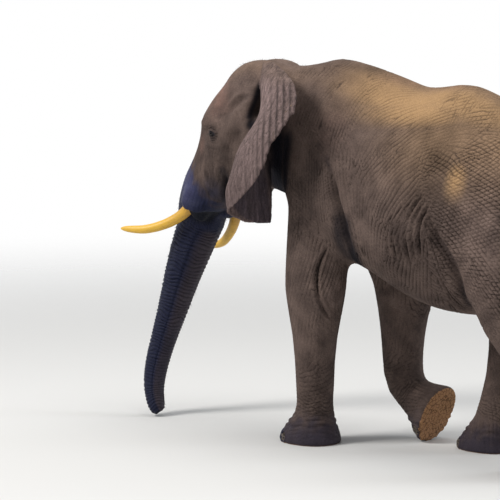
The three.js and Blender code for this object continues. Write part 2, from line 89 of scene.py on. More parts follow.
# Left ear, from its top to its lobe: where it leaves the head, turns back, and ends
EAR_ROOT = np.array([
    (-0.883, -0.190, 3.010), (-0.828, -0.280, 2.880), (-0.788, -0.312, 2.660),
    (-0.748, -0.322, 2.430), (-0.708, -0.335, 2.235), (-0.663, -0.372, 2.010),
    (-0.640, -0.400, 1.860), (-0.633, -0.415, 1.765),
])
EAR_FOLD = np.array([
    (-0.828, -0.240, 3.062), (-0.664, -0.440, 2.935), (-0.620, -0.545, 2.690),
    (-0.716, -0.700, 2.400), (-0.720, -0.790, 2.195), (-0.753, -0.805, 2.020),
    (-0.758, -0.720, 1.870), (-0.698, -0.560, 1.775),
])
EAR_EDGE = np.array([
    (-0.708, -0.290, 3.062), (-0.265, -0.565, 2.925), (-0.108, -0.722, 2.745),
    (-0.205, -0.875, 2.465), (-0.300, -0.930, 2.230), (-0.552, -0.900, 2.008),
    (-0.763, -0.820, 1.893), (-0.738, -0.650, 1.800),
])
RIGHT_EAR_DROP = 0.075
EAR_ACROSS = (0.766, 0.643, 0.0)  # the pleats of the left ear follow each other this way
EAR_THICK = (0.034, 0.014)  # at its root and at its edge
EAR_WAIST = 2.35  # above it the ear's ribs lean forward, and below it back

# Trunk: centre of each section from the face to the tip, and its radius
TRUNK = np.array([
    (-1.668, 0.0, 1.800, 0.205), (-1.738, 0.0, 1.650, 0.195), (-1.798, -0.022, 1.490, 0.182),
    (-1.850, -0.050, 1.320, 0.167), (-1.900, -0.080, 1.140, 0.149),
    (-1.944, -0.108, 0.960, 0.134), (-1.986, -0.138, 0.790, 0.120),
    (-2.026, -0.172, 0.620, 0.108), (-2.058, -0.204, 0.450, 0.101),
    (-2.068, -0.228, 0.310, 0.093), (-2.054, -0.246, 0.190, 0.082),
    (-2.020, -0.256, 0.095, 0.074), (-1.990, -0.260, 0.044, 0.052),
])

TUSKS = {
    "left": [(-1.586, -0.220, 1.950), (-1.640, -0.224, 1.850), (-1.720, -0.246, 1.752),
             (-1.858, -0.305, 1.663), (-2.038, -0.378, 1.608), (-2.253, -0.440, 1.605)],
    "right": [(-1.500, 0.228, 1.930), (-1.536, 0.240, 1.835), (-1.606, 0.288, 1.668),
              (-1.706, 0.346, 1.548), (-1.838, 0.400, 1.445), (-1.988, 0.432, 1.393)],
}
TUSK_RADIUS = 0.058
TUSK_GRID = (150, 72)
TUSK_FLUTES = ((2, 0.012), (3, 0.008), (7, 0.004), (13, 0.003))  # how many, and how deep
TUSK_ROOM = 0.0015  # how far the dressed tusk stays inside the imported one
SHEATH_LIP = {"left": 1.42, "right": 1.50}  # where the flesh ends, in rows of the tusk's line

EYE_RADIUS = 0.020
EYE_GRID = (40, 48)
EYE_ROOM = 0.0012  # how much smaller the dressed ball is, so that its cornea has room
EYE_PLACE = (-1.3127, 0.344, 2.449)  # X, distance from the midline, Z
EYE_FACING = (-0.290, 0.948, -0.130)
EYE_BACK = (1.0, 0.0, -0.12)  # from the inner corner of the lids to the outer
EYE_SINK = 0.009  # how far the ball lies behind its packed place

TAIL = np.array([
    (1.792, 0.0, 2.420), (1.952, 0.0, 2.395), (2.082, 0.002, 2.310), (2.160, 0.004, 2.150),
    (2.200, 0.008, 1.930), (2.216, 0.012, 1.680), (2.218, 0.016, 1.420), (2.216, 0.018, 1.240),
])

# Axis of each leg, from the body to the ankle
LEGS = {
    "foreleg_left": [(-0.228, -0.335, 1.26), (-0.238, -0.330, 0.88), (-0.242, -0.325, 0.66),
                     (-0.242, -0.320, 0.33), (-0.248, -0.320, 0.24)],
    "foreleg_right": [(0.147, 0.333, 1.26), (0.152, 0.332, 0.86), (0.152, 0.330, 0.69),
                      (0.194, 0.330, 0.45), (0.262, 0.330, 0.375), (0.322, 0.330, 0.335)],
    "hindleg_left": [(1.742, -0.355, 1.33), (1.897, -0.346, 0.87), (1.957, -0.340, 0.62),
                     (1.994, -0.335, 0.42), (1.994, -0.332, 0.27)],
    "hindleg_right": [(1.382, 0.355, 1.33), (1.247, 0.346, 0.84), (1.190, 0.340, 0.62),
                      (1.127, 0.335, 0.42), (1.084, 0.332, 0.27)],
}
SOLE_CENTRE = Vector((0.517, 0.330, 0.232))  # of the right forefoot, turned back
SOLE_AXIS = Vector((math.cos(math.radians(22)), 0.0, -math.sin(math.radians(22))))

# Swells and hollows: place on the left side, reach along X, Y and Z, and height.
# They are alike on both sides.
FORMS = {
    "spine of the shoulder blade": ((-0.10, -0.40, 2.62), (0.09, 0.30, 0.34), 0.014),
    "hollow ahead of the blade": ((-0.36, -0.36, 2.62), (0.11, 0.30, 0.26), -0.020),
    "hollow behind the shoulder": ((0.40, -0.52, 2.30), (0.22, 0.30, 0.34), -0.022),
    "point of the shoulder": ((-0.36, -0.42, 2.02), (0.14, 0.25, 0.20), 0.016),
    "upper arm": ((0.00, -0.50, 1.85), (0.16, 0.25, 0.30), 0.014),
    "ribs": ((0.75, -0.60, 2.00), (0.40, 0.30, 0.35), 0.012),
    "flank hollow": ((1.16, -0.56, 2.26), (0.13, 0.25, 0.17), -0.034),
    "point of the hip": ((1.34, -0.45, 2.46), (0.12, 0.22, 0.11), 0.024),
    "thigh": ((1.50, -0.56, 1.90), (0.26, 0.25, 0.34), 0.014),
    "hollow above the tail": ((1.86, -0.20, 2.46), (0.12, 0.12, 0.14), -0.014),
    "spine": ((0.62, 0.00, 2.96), (0.70, 0.05, 0.25), 0.010),
    "temple": ((-1.17, -0.36, 2.68), (0.10, 0.16, 0.12), -0.020),
    "gland behind the eye": ((-1.08, -0.37, 2.46), (0.05, 0.12, 0.06), -0.008),
    "cheek arch": ((-1.16, -0.37, 2.36), (0.15, 0.14, 0.05), 0.012),
    "brow": ((-1.41, -0.32, 2.54), (0.09, 0.12, 0.05), 0.014),
    "hollow ahead of the eye": ((-1.48, -0.28, 2.40), (0.06, 0.12, 0.07), -0.010),
    "forehead": ((-1.30, 0.00, 2.74), (0.14, 0.20, 0.18), 0.008),
    "flat of the brow": ((-1.52, 0.00, 2.50), (0.12, 0.34, 0.17), -0.030),
    "eye socket": ((-1.318, -0.35, 2.452), (0.070, 0.15, 0.050), -0.020),
    "ridge over the eye": ((-1.345, -0.34, 2.530), (0.100, 0.14, 0.032), 0.016),
    "bridge of the trunk": ((-1.70, 0.00, 2.02), (0.13, 0.30, 0.17), 0.034),
    "side of the forehead": ((-1.30, -0.27, 2.80), (0.07, 0.16, 0.12), -0.016),
    "nose root": ((-1.56, 0.00, 2.28), (0.10, 0.12, 0.16), 0.012),
    "crown lobe": ((-0.98, -0.14, 2.99), (0.14, 0.12, 0.10), 0.014),
    "cleft of the crown": ((-0.98, 0.00, 3.02), (0.22, 0.05, 0.14), -0.016),
    "hollow below the cheek": ((-1.12, -0.33, 2.10), (0.12, 0.14, 0.13), -0.018),
}


def lerp(a, b, t):
    """Value between two others."""
    return a + (b - a) * t


def smooth(low, high, value):
    """Rises softly from 0 at low to 1 at high."""
    t = np.clip((value - low) / (high - low), 0, 1)
    return t * t * (3 - 2 * t)


def unit(vectors):
    """The same directions, with a length of 1."""
    return vectors / np.linalg.norm(vectors, axis=-1, keepdims=True)


def humps(turns):
    """0 at each whole number of turns and 1 half way between."""
    return np.abs(np.sin(math.pi * turns))


def raise_to(field, some, amount):
    """Raises a field to an amount at some points, where it is lower."""
    field[some] = np.maximum(field[some], amount)


def around(sides):
    """Angles of evenly spaced points round a ring."""
    return np.arange(sides) * 2 * math.pi / sides


def within(points, low, high):
    """Which points lie in a box."""
    return np.where(((points > low) & (points < high)).all(1))[0]


def close_to(points, *beds):
    """Whether each point lies within reach of any of the places."""
    return np.any([np.linalg.norm(points - place, axis=1) < reach for place, reach in beds],
                  axis=0)


def nail_centres():
    """Middle of each packed nail."""
    return [np.array((low + high) / 2) for low, high in map(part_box, NAILS)]


def along_rows(rows, place):
    """Cubic through rows of sizes, at places counted in rows."""
    index = np.clip(np.floor(place).astype(int), 0, len(rows) - 2)
    part = (place - index)[..., None]
    before, start = rows[np.maximum(index - 1, 0)], rows[index]
    end, after = rows[index + 1], rows[np.minimum(index + 2, len(rows) - 1)]
    leaving, arriving = (end - before) / 2, (after - start) / 2
    square, cube = part ** 2, part ** 3
    return ((2 * cube - 3 * square + 1) * start + (cube - 2 * square + part) * leaving
            + (3 * square - 2 * cube) * end + (cube - square) * arriving)


def pleat_turn(across):
    """Count of ear pleats at places across the ear: narrow in front, broad behind."""
    places = np.linspace(-1.4, 0.2, 800)
    pitch = lerp(0.030, 0.052, smooth(-0.90, -0.80, places))
    turns = np.concatenate([[0], np.cumsum((places[1] - places[0]) / pitch[:-1])])
    return np.interp(across, places, turns)


def bent(start, middle, end, place):
    """Centripetal curve through three points each, at places from 0 to 1."""
    first = np.sqrt(np.linalg.norm(middle - start, axis=-1))[..., None]
    second = np.sqrt(np.linalg.norm(end - middle, axis=-1))[..., None]
    late = (place >= 0.5)[..., None]
    ahead, behind = 2 * start - middle, 2 * end - middle
    points = [np.where(late, b, a) for a, b in
              ((ahead, start), (start, middle), (middle, end), (end, behind))]
    gaps = [np.where(late, b, a) for a, b in ((first, first), (first, second), (second, second))]
    leaving = ((points[1] - points[0]) / gaps[0] - (points[2] - points[0]) / (gaps[0] + gaps[1])
               + (points[2] - points[1]) / gaps[1]) * gaps[1]
    arriving = ((points[2] - points[1]) / gaps[1] - (points[3] - points[1]) / (gaps[1] + gaps[2])
                + (points[3] - points[2]) / gaps[2]) * gaps[1]
    t = (place * 2 - (place >= 0.5))[..., None]
    square, cube = t ** 2, t ** 3
    return ((2 * cube - 3 * square + 1) * points[1] + (cube - 2 * square + t) * leaving
            + (3 * square - 2 * cube) * points[2] + (cube - square) * arriving)


# ---------------------------------------------------------------- meshes as arrays

class Shape:
    """Points and edges of one mesh as arrays, with its normals."""

    def __init__(self, mesh):
        self.mesh = mesh
        self.points = np.empty(len(mesh.vertices) * 3, np.float32)
        mesh.vertices.foreach_get("co", self.points)
        self.points = self.points.reshape(-1, 3)
        self.edges = np.empty(len(mesh.edges) * 2, np.int32)
        mesh.edges.foreach_get("vertices", self.edges)
        self.edges = self.edges.reshape(-1, 2)
        self.degree = np.bincount(self.edges.ravel(), minlength=len(self.points))

    def write(self):
        """Puts the points back on the mesh."""
        self.mesh.vertices.foreach_set("co", self.points.astype(np.float32).ravel())
        self.mesh.update()

    def normals(self):
        """Unit normals of the points as they now lie."""
        self.write()
        normals = np.empty(len(self.points) * 3, np.float32)
        self.mesh.vertices.foreach_get("normal", normals)
        return normals.reshape(-1, 3)

    def push(self, amount, some=slice(None)):
        """Moves points along their normals, out or in."""
        self.points[some] += self.normals()[some] * amount[:, None]

    def relax(self, values, weight, rounds):
        """Averages values with their neighbours, each point by its own weight."""
        a, b = self.edges.T
        count = len(self.points)
        for _ in range(rounds):
            total = np.stack([
                np.bincount(a, column[b], count) + np.bincount(b, column[a], count)
                for column in values.T
            ], axis=1)
            values = values + weight[:, None] * (total / self.degree[:, None] - values)
        return values


def kept_on(mesh, **values):
    """Stores numbers from 0 to 1 on a mesh's points, for the materials to read."""
    for name, numbers in values.items():
        layer = mesh.attributes.new(name, "FLOAT", "POINT")
        layer.data.foreach_set("value", np.clip(numbers, 0, 1).astype(np.float32).ravel())


def mesh_from(name, points, faces):
    """New mesh of points and faces."""
    mesh = bpy.data.meshes.new(name)
    mesh.from_pydata([tuple(point) for point in points], [], [tuple(face) for face in faces])
    mesh.validate()
    mesh.update()
    return mesh


def mesh_of(made, mesh):
    """Writes a bmesh to a mesh and frees it."""
    made.to_mesh(mesh)
    made.free()
    return mesh


def outward(mesh):
    """Turns every face to look outwards."""
    turned = bmesh.new()
    turned.from_mesh(mesh)
    bmesh.ops.recalc_face_normals(turned, faces=turned.faces)
    return mesh_of(turned, mesh)


def placed(name, data):
    """New object in the scene; a mesh is shaded smooth."""
    piece = bpy.data.objects.new(name, data)
    bpy.context.scene.collection.objects.link(piece)
    if piece.type == "MESH":
        data.shade_smooth()
    return piece


def aimed(name, data, place, target):
    """New lamp or camera that looks from a place to a target."""
    piece = placed(name, data)
    piece.location = place
    piece.rotation_euler = (Vector(target) - Vector(place)).to_track_quat("-Z", "Y").to_euler()
    return piece


def applied(piece, kind, **settings):
    """The piece's mesh with one modifier applied, in place of its old one."""
    modifier = piece.modifiers.new("shape", kind)
    for key, value in settings.items():
        setattr(modifier, key, value)
    graph = bpy.context.evaluated_depsgraph_get()
    mesh = bpy.data.meshes.new_from_object(piece.evaluated_get(graph))
    piece.modifiers.clear()
    old, piece.data = piece.data, mesh
    bpy.data.meshes.remove(old)
    return piece


def grid_faces(rows, columns, closed=False):
    """Quads of a grid of points counted row by row; closed joins its last column to its first."""
    faces = []
    for row in range(rows - 1):
        for column in range(columns if closed else columns - 1):
            a, b = row * columns + column, row * columns + (column + 1) % columns
            faces.append((a, b, b + columns, a + columns))
    return faces


def tube(centres, radii, sides):
    """Points and faces of a closed tube along centres."""
    centres = np.asarray(centres, float)
    ahead = unit(np.gradient(centres, axis=0))
    across = unit(np.cross(ahead, (0.0, 1.0, 0.0)))
    over = np.cross(ahead, across)
    angle = around(sides)
    radii = np.asarray(radii, float).reshape(len(centres), -1)
    ring = (across[:, None] * np.cos(angle)[None, :, None]
            + over[:, None] * np.sin(angle)[None, :, None])
    points = (centres[:, None] + ring * radii[:, :, None]).reshape(-1, 3)
    faces = grid_faces(len(centres), sides, closed=True)
    faces = [face[::-1] for face in faces]
    last = len(points) - sides
    faces += [tuple(range(sides)), tuple(range(last + sides - 1, last - 1, -1))]
    return points, faces


def eye_axes(side):
    """Centre of an eyeball, and its outward, backward and upward directions."""
    sign = SIDES[side]
    facing = np.array([EYE_FACING[0], sign * EYE_FACING[1], EYE_FACING[2]])
    centre = np.array([EYE_PLACE[0], sign * EYE_PLACE[1], EYE_PLACE[2]]) - facing * EYE_SINK
    back = unit(np.array(EYE_BACK) - facing * (facing @ EYE_BACK))
    up = np.cross(facing, back)
    return centre, facing, back, up * np.sign(up[2])


# ---------------------------------------------------------------- fields over the skin

def blob(points, place, reach):
    """1 at a place, falling to 0 past its reach."""
    away = (points - np.asarray(place, np.float32)) / np.asarray(reach, np.float32)
    return np.exp(-(away ** 2).sum(1))


def patches(points, table):
    """One soft patch for each row of place, reach and amount."""
    return [amount * blob(points, place, reach) for place, reach, amount in table]


def to_line(points, line):
    """Distance from each point to a run of straight lengths, and how far along it is nearest."""
    line = np.asarray(line, np.float32)
    lengths = np.linalg.norm(np.diff(line, axis=0), axis=1)
    starts = np.concatenate([[0], np.cumsum(lengths)])
    best = np.full(len(points), 1e9, np.float32)
    at = np.zeros(len(points), np.float32)
    for index, length in enumerate(lengths):
        step = (line[index + 1] - line[index]) / length
        part = np.clip((points - line[index]) @ step, 0, length)
        away = np.linalg.norm(points - line[index] - part[:, None] * step, axis=1)
        nearer = away < best
        best[nearer] = away[nearer]
        at[nearer] = starts[index] + part[nearer]
    return best, at


def softened(line, steps=6):
    """More points on a smooth curve through the given ones."""
    line = np.asarray(line, float)
    return along_rows(line, np.linspace(0, len(line) - 1, (len(line) - 1) * steps + 1))


def even_ways(waves, random):
    """Unit directions spread evenly over half a sphere."""
    height = (np.arange(waves) + random.uniform(0, 1, waves)) / waves
    turn = np.arange(waves) * math.pi * (3 - math.sqrt(5)) + random.normal(0, 0.1, waves)
    flat_part = np.sqrt(1 - height ** 2)
    ways = np.stack([flat_part * np.cos(turn), flat_part * np.sin(turn), height], axis=1)
    return ways.astype(np.float32)


def ripples(points, spacing, seed, waves=48):
    """Random ripples of about one spacing, mostly within -2 to 2."""
    random = np.random.default_rng(seed)
    total = np.zeros(len(points), np.float32)
    for way in even_ways(waves, random):
        pitch = np.float32(2 * math.pi / (spacing * random.uniform(0.85, 1.2)))
        total += np.cos(points @ (way * pitch) + np.float32(random.uniform(0, 2 * math.pi)))
    return total * math.sqrt(2 / waves)


def grooves(points, spacing, seed, lie, run, normals, waves, width=0.55):
    """Lines along a lie, 1 at their middles; each keeps to it over a run, then forks or ends."""
    random = np.random.default_rng(seed)
    cosines, sines = np.zeros((2, len(points)), np.float32)
    for way in even_ways(waves, random):
        pitch = np.float32(math.pi / (spacing * random.uniform(0.85, 1.2)))
        phase = np.float32(random.uniform(0, 2 * math.pi))
        share = np.exp(-((lie @ way) * (pitch * np.float32(run))) ** 2 / 2)
        share *= (1 - (normals @ way) ** 2) ** 2
        some = np.where(share > 0.02)[0]
        angle = points[some] @ (way * pitch) + phase
        cosines[some] += share[some] * np.cos(angle)
        sines[some] += share[some] * np.sin(angle)
    crossing = np.abs(cosines) / np.maximum(np.hypot(cosines, sines), 1e-6)
    return 1 - smooth(0.0, width, crossing)


# How the long wrinkles lie on the left side: place (X, Z), degrees up from the tailward
# direction, depth in metres, and how strong the crossing wrinkles are beside them
WRINKLES = np.array([
    (-0.20, 2.95, 50, 0.0020, 0.5), (0.00, 2.45, 78, 0.0022, 0.6), (-0.15, 1.95, 96, 0.0021, 0.6),
    (0.15, 2.10, 112, 0.0034, 0.4), (0.55, 2.40, 42, 0.0026, 0.7), (0.90, 2.05, 48, 0.0046, 0.4),
    (0.98, 1.70, 66, 0.0052, 0.3), (0.80, 1.45, 86, 0.0036, 0.5), (0.45, 1.60, 96, 0.0028, 0.5),
    (0.70, 2.88, 8, 0.0008, 0.4), (1.20, 2.70, 20, 0.0016, 1.0), (1.50, 2.15, 148, 0.0042, 1.0),
    (1.55, 1.75, 140, 0.0044, 1.0), (1.85, 2.20, 160, 0.0040, 1.0), (1.75, 1.40, 128, 0.0036, 1.0),
    (1.28, 2.02, 146, 0.0042, 1.0), (1.34, 2.30, 150, 0.0036, 1.0), (1.38, 1.78, 140, 0.0042, 1.0),
    (1.45, 1.50, 134, 0.0038, 1.0),
    (1.90, 0.80, 100, 0.0018, 0.7), (-0.28, 1.45, 66, 0.0030, 0.3), (-0.24, 0.95, 80, 0.0014, 0.6),
    (-0.24, 0.40, 8, 0.0022, 0.5), (-0.60, 2.30, 84, 0.0026, 0.4), (-0.60, 2.90, 60, 0.0016, 0.4),
    (-1.20, 2.10, 82, 0.0022, 0.3), (-1.10, 2.70, 70, 0.0012, 0.4), (-1.45, 2.60, 55, 0.0012, 0.6),
    (-1.60, 2.00, 72, 0.0020, 0.3),
])
WRINKLE_BLEND = 0.30  # how far each place's wrinkles reach

WIDE_FOLD, WIDE_ROLL = 0.03, 0.15  # folds wider than this have lower raised sides
# Single folds on the left side: places, half width and depth
FOLDS = {
    "behind the foreleg": ([(0.01, -0.50, 2.34), (0.09, -0.54, 2.17), (0.15, -0.56, 2.02),
                            (0.205, -0.57, 1.89), (0.235, -0.56, 1.75), (0.24, -0.50, 1.62),
                            (0.23, -0.38, 1.50)], 0.038, 0.050),
    "beside it": ([(-0.04, -0.50, 2.24), (0.03, -0.52, 2.09), (0.09, -0.54, 1.95),
                   (0.13, -0.54, 1.80)], 0.014, 0.013),
    "before the thigh": ([(1.07, -0.61, 2.08), (1.11, -0.62, 1.96), (1.19, -0.60, 1.76),
                          (1.27, -0.55, 1.63),
                          (1.31, -0.48, 1.45), (1.29, -0.33, 1.26)], 0.036, 0.040),
    "ear root": ([(-0.79, -0.29, 2.92), (-0.812, -0.324, 2.80), (-0.832, -0.339, 2.71),
                  (-0.866, -0.349, 2.62), (-0.90, -0.355, 2.54)], 0.046, 0.085),
    "temple": ([(-1.25, -0.335, 2.60), (-1.19, -0.345, 2.625), (-1.14, -0.351, 2.655),
                (-1.08, -0.350, 2.70), (-1.014, -0.347, 2.742), (-0.95, -0.340, 2.765),
                (-0.89, -0.330, 2.785)], 0.032, 0.026),
    "behind the cheek": ([(-0.972, -0.359, 2.516), (-1.022, -0.363, 2.457),
                          (-1.084, -0.366, 2.388), (-1.13, -0.362, 2.328),
                          (-1.16, -0.352, 2.259)], 0.060, 0.024),
    "ridge over the temple": ([(-1.22, -0.330, 2.665), (-1.15, -0.335, 2.710),
                               (-1.07, -0.335, 2.765), (-0.98, -0.330, 2.805)], 0.022, -0.014),
    "hind edge of the temple": ([(-1.03, -0.355, 2.70), (-0.985, -0.36, 2.63),
                                 (-0.975, -0.362, 2.55)], 0.020, -0.010),
    "under the eye": ([(-1.40, -0.310, 2.385), (-1.33, -0.330, 2.372),
                       (-1.26, -0.346, 2.372), (-1.194, -0.362, 2.39)], 0.009, 0.007),
    "below that": ([(-1.437, -0.295, 2.347), (-1.345, -0.326, 2.325),
                    (-1.256, -0.341, 2.320)], 0.009, 0.006),
    "cheek": ([(-1.317, -0.334, 2.249), (-1.246, -0.341, 2.212), (-1.173, -0.337, 2.175),
               (-1.166, -0.320, 2.108)], 0.011, 0.009),
    "cheek's hind edge": ([(-1.216, -0.338, 2.156), (-1.194, -0.313, 2.073),
                           (-1.225, -0.277, 1.985), (-1.299, -0.215, 1.892)], 0.022, 0.022),
}
# Folds and rolls of the lids: level over the eye's centre, bow, half width, height, reach
EYE_FOLDS = (
    (0.0225, 10.0, 0.0040, -0.0085, 0.034), (0.0340, 7.0, 0.0090, 0.0120, 0.048),
    (0.0490, 5.0, 0.0038, -0.0060, 0.044), (0.0640, 4.0, 0.0036, -0.0036, 0.036),
    (-0.0185, -9.0, 0.0034, -0.0070, 0.030), (-0.0265, -8.0, 0.0060, 0.0062, 0.034),
    (-0.0370, -7.0, 0.0034, -0.0060, 0.040), (-0.0470, -6.0, 0.0060, 0.0040, 0.040),
    (-0.0570, -5.0, 0.0034, -0.0050, 0.044), (-0.0740, -4.0, 0.0034, -0.0036, 0.040),
)
# Lower edge of the upper lip, from the tusk back to the corner of the mouth
LIP_EDGE = [(-1.70, -0.27, 1.835), (-1.62, -0.29, 1.806), (-1.52, -0.29, 1.790),
            (-1.40, -0.27, 1.796), (-1.30, -0.23, 1.806), (-1.22, -0.18, 1.83)]
FLANK_ARC = [(0.92, -0.60, 2.16), (0.80, -0.63, 2.00), (0.73, -0.63, 1.82), (0.73, -0.62, 1.62),
             (0.78, -0.57, 1.46)]
FLANK_ARCS = 6
FLANK_ARC_STEP = Vector((0.060, 0.0, 0.008))
FLANK_ARC_WIDTH, FLANK_ARC_DEPTHS = 0.013, (0.010, 0.019)  # they take the depths in turn
ELBOW_FOLD = [(0.062, -0.479, 1.687), (-0.021, -0.463, 1.599), (-0.054, -0.495, 1.503),
              (-0.072, -0.510, 1.399), (-0.074, -0.508, 1.294), (-0.069, -0.480, 1.194),
              (-0.040, -0.442, 1.090), (-0.008, -0.385, 1.020), (0.060, -0.340, 0.980)]
ELBOW_LINES = ((0.014, 0.024), (0.011, 0.012), (0.010, 0.008))  # half width and depth
ELBOW_LINE_STEP = 0.030
ELBOW_SWELL = ((0.045, 0.43, 1.22), (0.085, 0.14, 0.16), 0.016)
ELBOW_STEPS = {"left": 0.0, "right": 0.385}  # the right foreleg stands further back

# Painted light and shade on the left side, with some of the hide's own lighter and darker patches:
# place, reach, and how much
LIGHT_SHADE_AND_TONES = (
    ((1.56, -0.55, 1.96), (0.30, 0.40, 0.42), 0.42), ((1.60, -0.48, 2.35), (0.30, 0.40, 0.25), 0.16),
    ((0.64, -0.62, 2.22), (0.30, 0.40, 0.20), 0.12), ((0.98, -0.61, 2.12), (0.15, 0.30, 0.13), -0.26),
    ((0.95, -0.60, 1.75), (0.30, 0.40, 0.25), -0.14), ((0.70, -0.50, 1.50), (0.60, 0.50, 0.16), -0.18),
    ((0.00, -0.50, 2.20), (0.30, 0.30, 0.30), -0.10), ((-0.25, -0.40, 1.90), (0.20, 0.30, 0.4), -0.1),
    ((-1.25, -0.33, 2.10), (0.16, 0.20, 0.14), -0.38), ((-1.22, -0.35, 2.32), (0.12, 0.2, 0.1), -0.22),
    ((-1.40, -0.28, 1.95), (0.10, 0.20, 0.12), -0.42), ((0.85, -0.35, 2.80), (0.50, 0.25, 0.1), 0.12),
    ((0.60, 0.00, 3.02), (0.60, 0.10, 0.06), -0.22), ((-1.03, -0.36, 2.46), (0.07, 0.20, 0.1), -0.26),
    ((-1.20, -0.31, 2.04), (0.06, 0.20, 0.13), -0.35), ((-0.64, -0.45, 2.88), (0.16, 0.3, 0.14), 0.2),
    ((-1.12, -0.33, 2.86), (0.14, 0.20, 0.05), 0.14), ((-1.06, -0.35, 2.62), (0.07, 0.2, 0.07), 0.16),
    ((-1.30, -0.34, 2.60), (0.09, 0.20, 0.04), 0.14), ((0.04, -0.44, 1.22), (0.09, 0.20, 0.14), 0.25),
    ((1.62, -0.50, 2.05), (0.24, 0.40, 0.30), 0.12), ((-1.30, -0.28, 2.70), (0.18, 0.3, 0.20), 0.2),
    ((-0.74, -0.80, 2.20), (0.18, 0.30, 0.26), -0.16), ((-0.60, -0.50, 2.86), (0.2, 0.3, 0.16), 0.14),
    ((0.04, -0.44, 1.22), (0.08, 0.20, 0.13), 0.35), ((-0.75, -0.55, 2.80), (0.30, 0.4, 0.22), 0.16),
    ((-1.05, -0.10, 3.02), (0.35, 0.4, 0.20), 0.14), ((-1.46, -0.10, 2.62), (0.2, 0.3, 0.3), 0.14),
    ((-1.16, -0.32, 2.36), (0.12, 0.2, 0.16), -0.12),
    ((-1.28, -0.30, 1.94), (0.16, 0.2, 0.13), -0.24), ((1.10, -0.55, 1.95), (0.4, 0.3, 0.35), 0.04),
    ((0.00, -0.45, 2.30), (0.30, 0.3, 0.30), -0.05), ((-1.17, -0.33, 2.12), (0.08, 0.2, 0.10), 0.14),
)
# Dust and red earth on the left side, in the same way
DUST_PATCHES = (((1.30, -0.55, 2.25), (0.12, 0.3, 0.16), 0.80),
                ((0.80, -0.40, 2.74), (0.60, 0.3, 0.14), 0.95))
EARTH_PATCHES = (((-1.30, -0.26, 2.76), (0.17, 0.2, 0.22), 0.62),
                 ((-1.50, -0.22, 2.34), (0.07, 0.2, 0.15), 0.40),
                 ((0.75, -0.10, 2.97), (0.45, 0.2, 0.08), 0.70),
                 ((0.00, -0.40, 2.55), (0.25, 0.2, 0.30), 0.30))
# Painted shade in deep places that no light reaches: line on the left side, half width, and how dark
PAINTED_SHADE_LINES = (
    (FOLDS["ear root"][0], 0.050, 1.0),
    ([(-0.60, -0.36, 2.44), (-0.60, -0.34, 2.28), (-0.65, -0.31, 2.15), (-0.72, -0.22, 2.05),
      (-0.74, -0.10, 2.00)], 0.140, 1.0),
    ([(-0.50, -0.39, 2.44), (-0.50, -0.39, 2.26), (-0.50, -0.39, 2.12), (-0.56, -0.30, 2.02)],
     0.085, 0.97),
    ([(-0.84, -0.29, 2.87), (-0.865, -0.30, 2.80), (-0.877, -0.31, 2.745), (-0.90, -0.33, 2.66),
      (-0.92, -0.34, 2.61)], 0.034, 0.95),
    (FOLDS["temple"][0], 0.026, 0.26), (FOLDS["cheek's hind edge"][0], 0.040, 0.55),
    ([(0.01, -0.50, 2.34), (0.09, -0.54, 2.17), (0.15, -0.56, 2.02), (0.22, -0.57, 1.88)],
     0.024, 0.40),
    ([(0.18, -0.56, 1.95), (0.225, -0.57, 1.86), (0.25, -0.56, 1.76), (0.26, -0.50, 1.62),
      (0.25, -0.38, 1.50)], 0.040, 0.60),
    ([(0.24, -0.57, 1.83), (0.25, -0.54, 1.72), (0.26, -0.50, 1.62), (0.22, -0.37, 1.52)],
     0.084, 0.94),
    ([(0.20, -0.56, 1.84), (0.17, -0.53, 1.73), (0.14, -0.46, 1.64), (0.14, -0.39, 1.54)],
     0.090, 0.72),
    ([(1.20, -0.60, 1.76), (1.28, -0.55, 1.62), (1.31, -0.48, 1.45), (1.29, -0.33, 1.26)],
     0.030, 0.6),
)


LEG_RING, LEG_RING_DEPTH = 0.024, 0.0032  # spacing and depth of the creases at the wrists
FOOT_ROLL, FOOT_ROLL_HEIGHT = 0.055, 0.006
CUTICLE, NAIL_BED = 0.006, 0.018  # how far the one stands up and the other lies back
SEAM_DEPTH = 0.005  # along both edges of the trunk's hinder face
SOFT_STEPS, SOFT_ROUNDS = 40, 60  # how finely and how often the facets are rounded off
EAR_ROWS, EAR_COLUMNS, EAR_LOBES = 240, 130, 60
CUFF_RADII = (0.094, 0.083)  # flesh round a tusk, at its root and at its lip


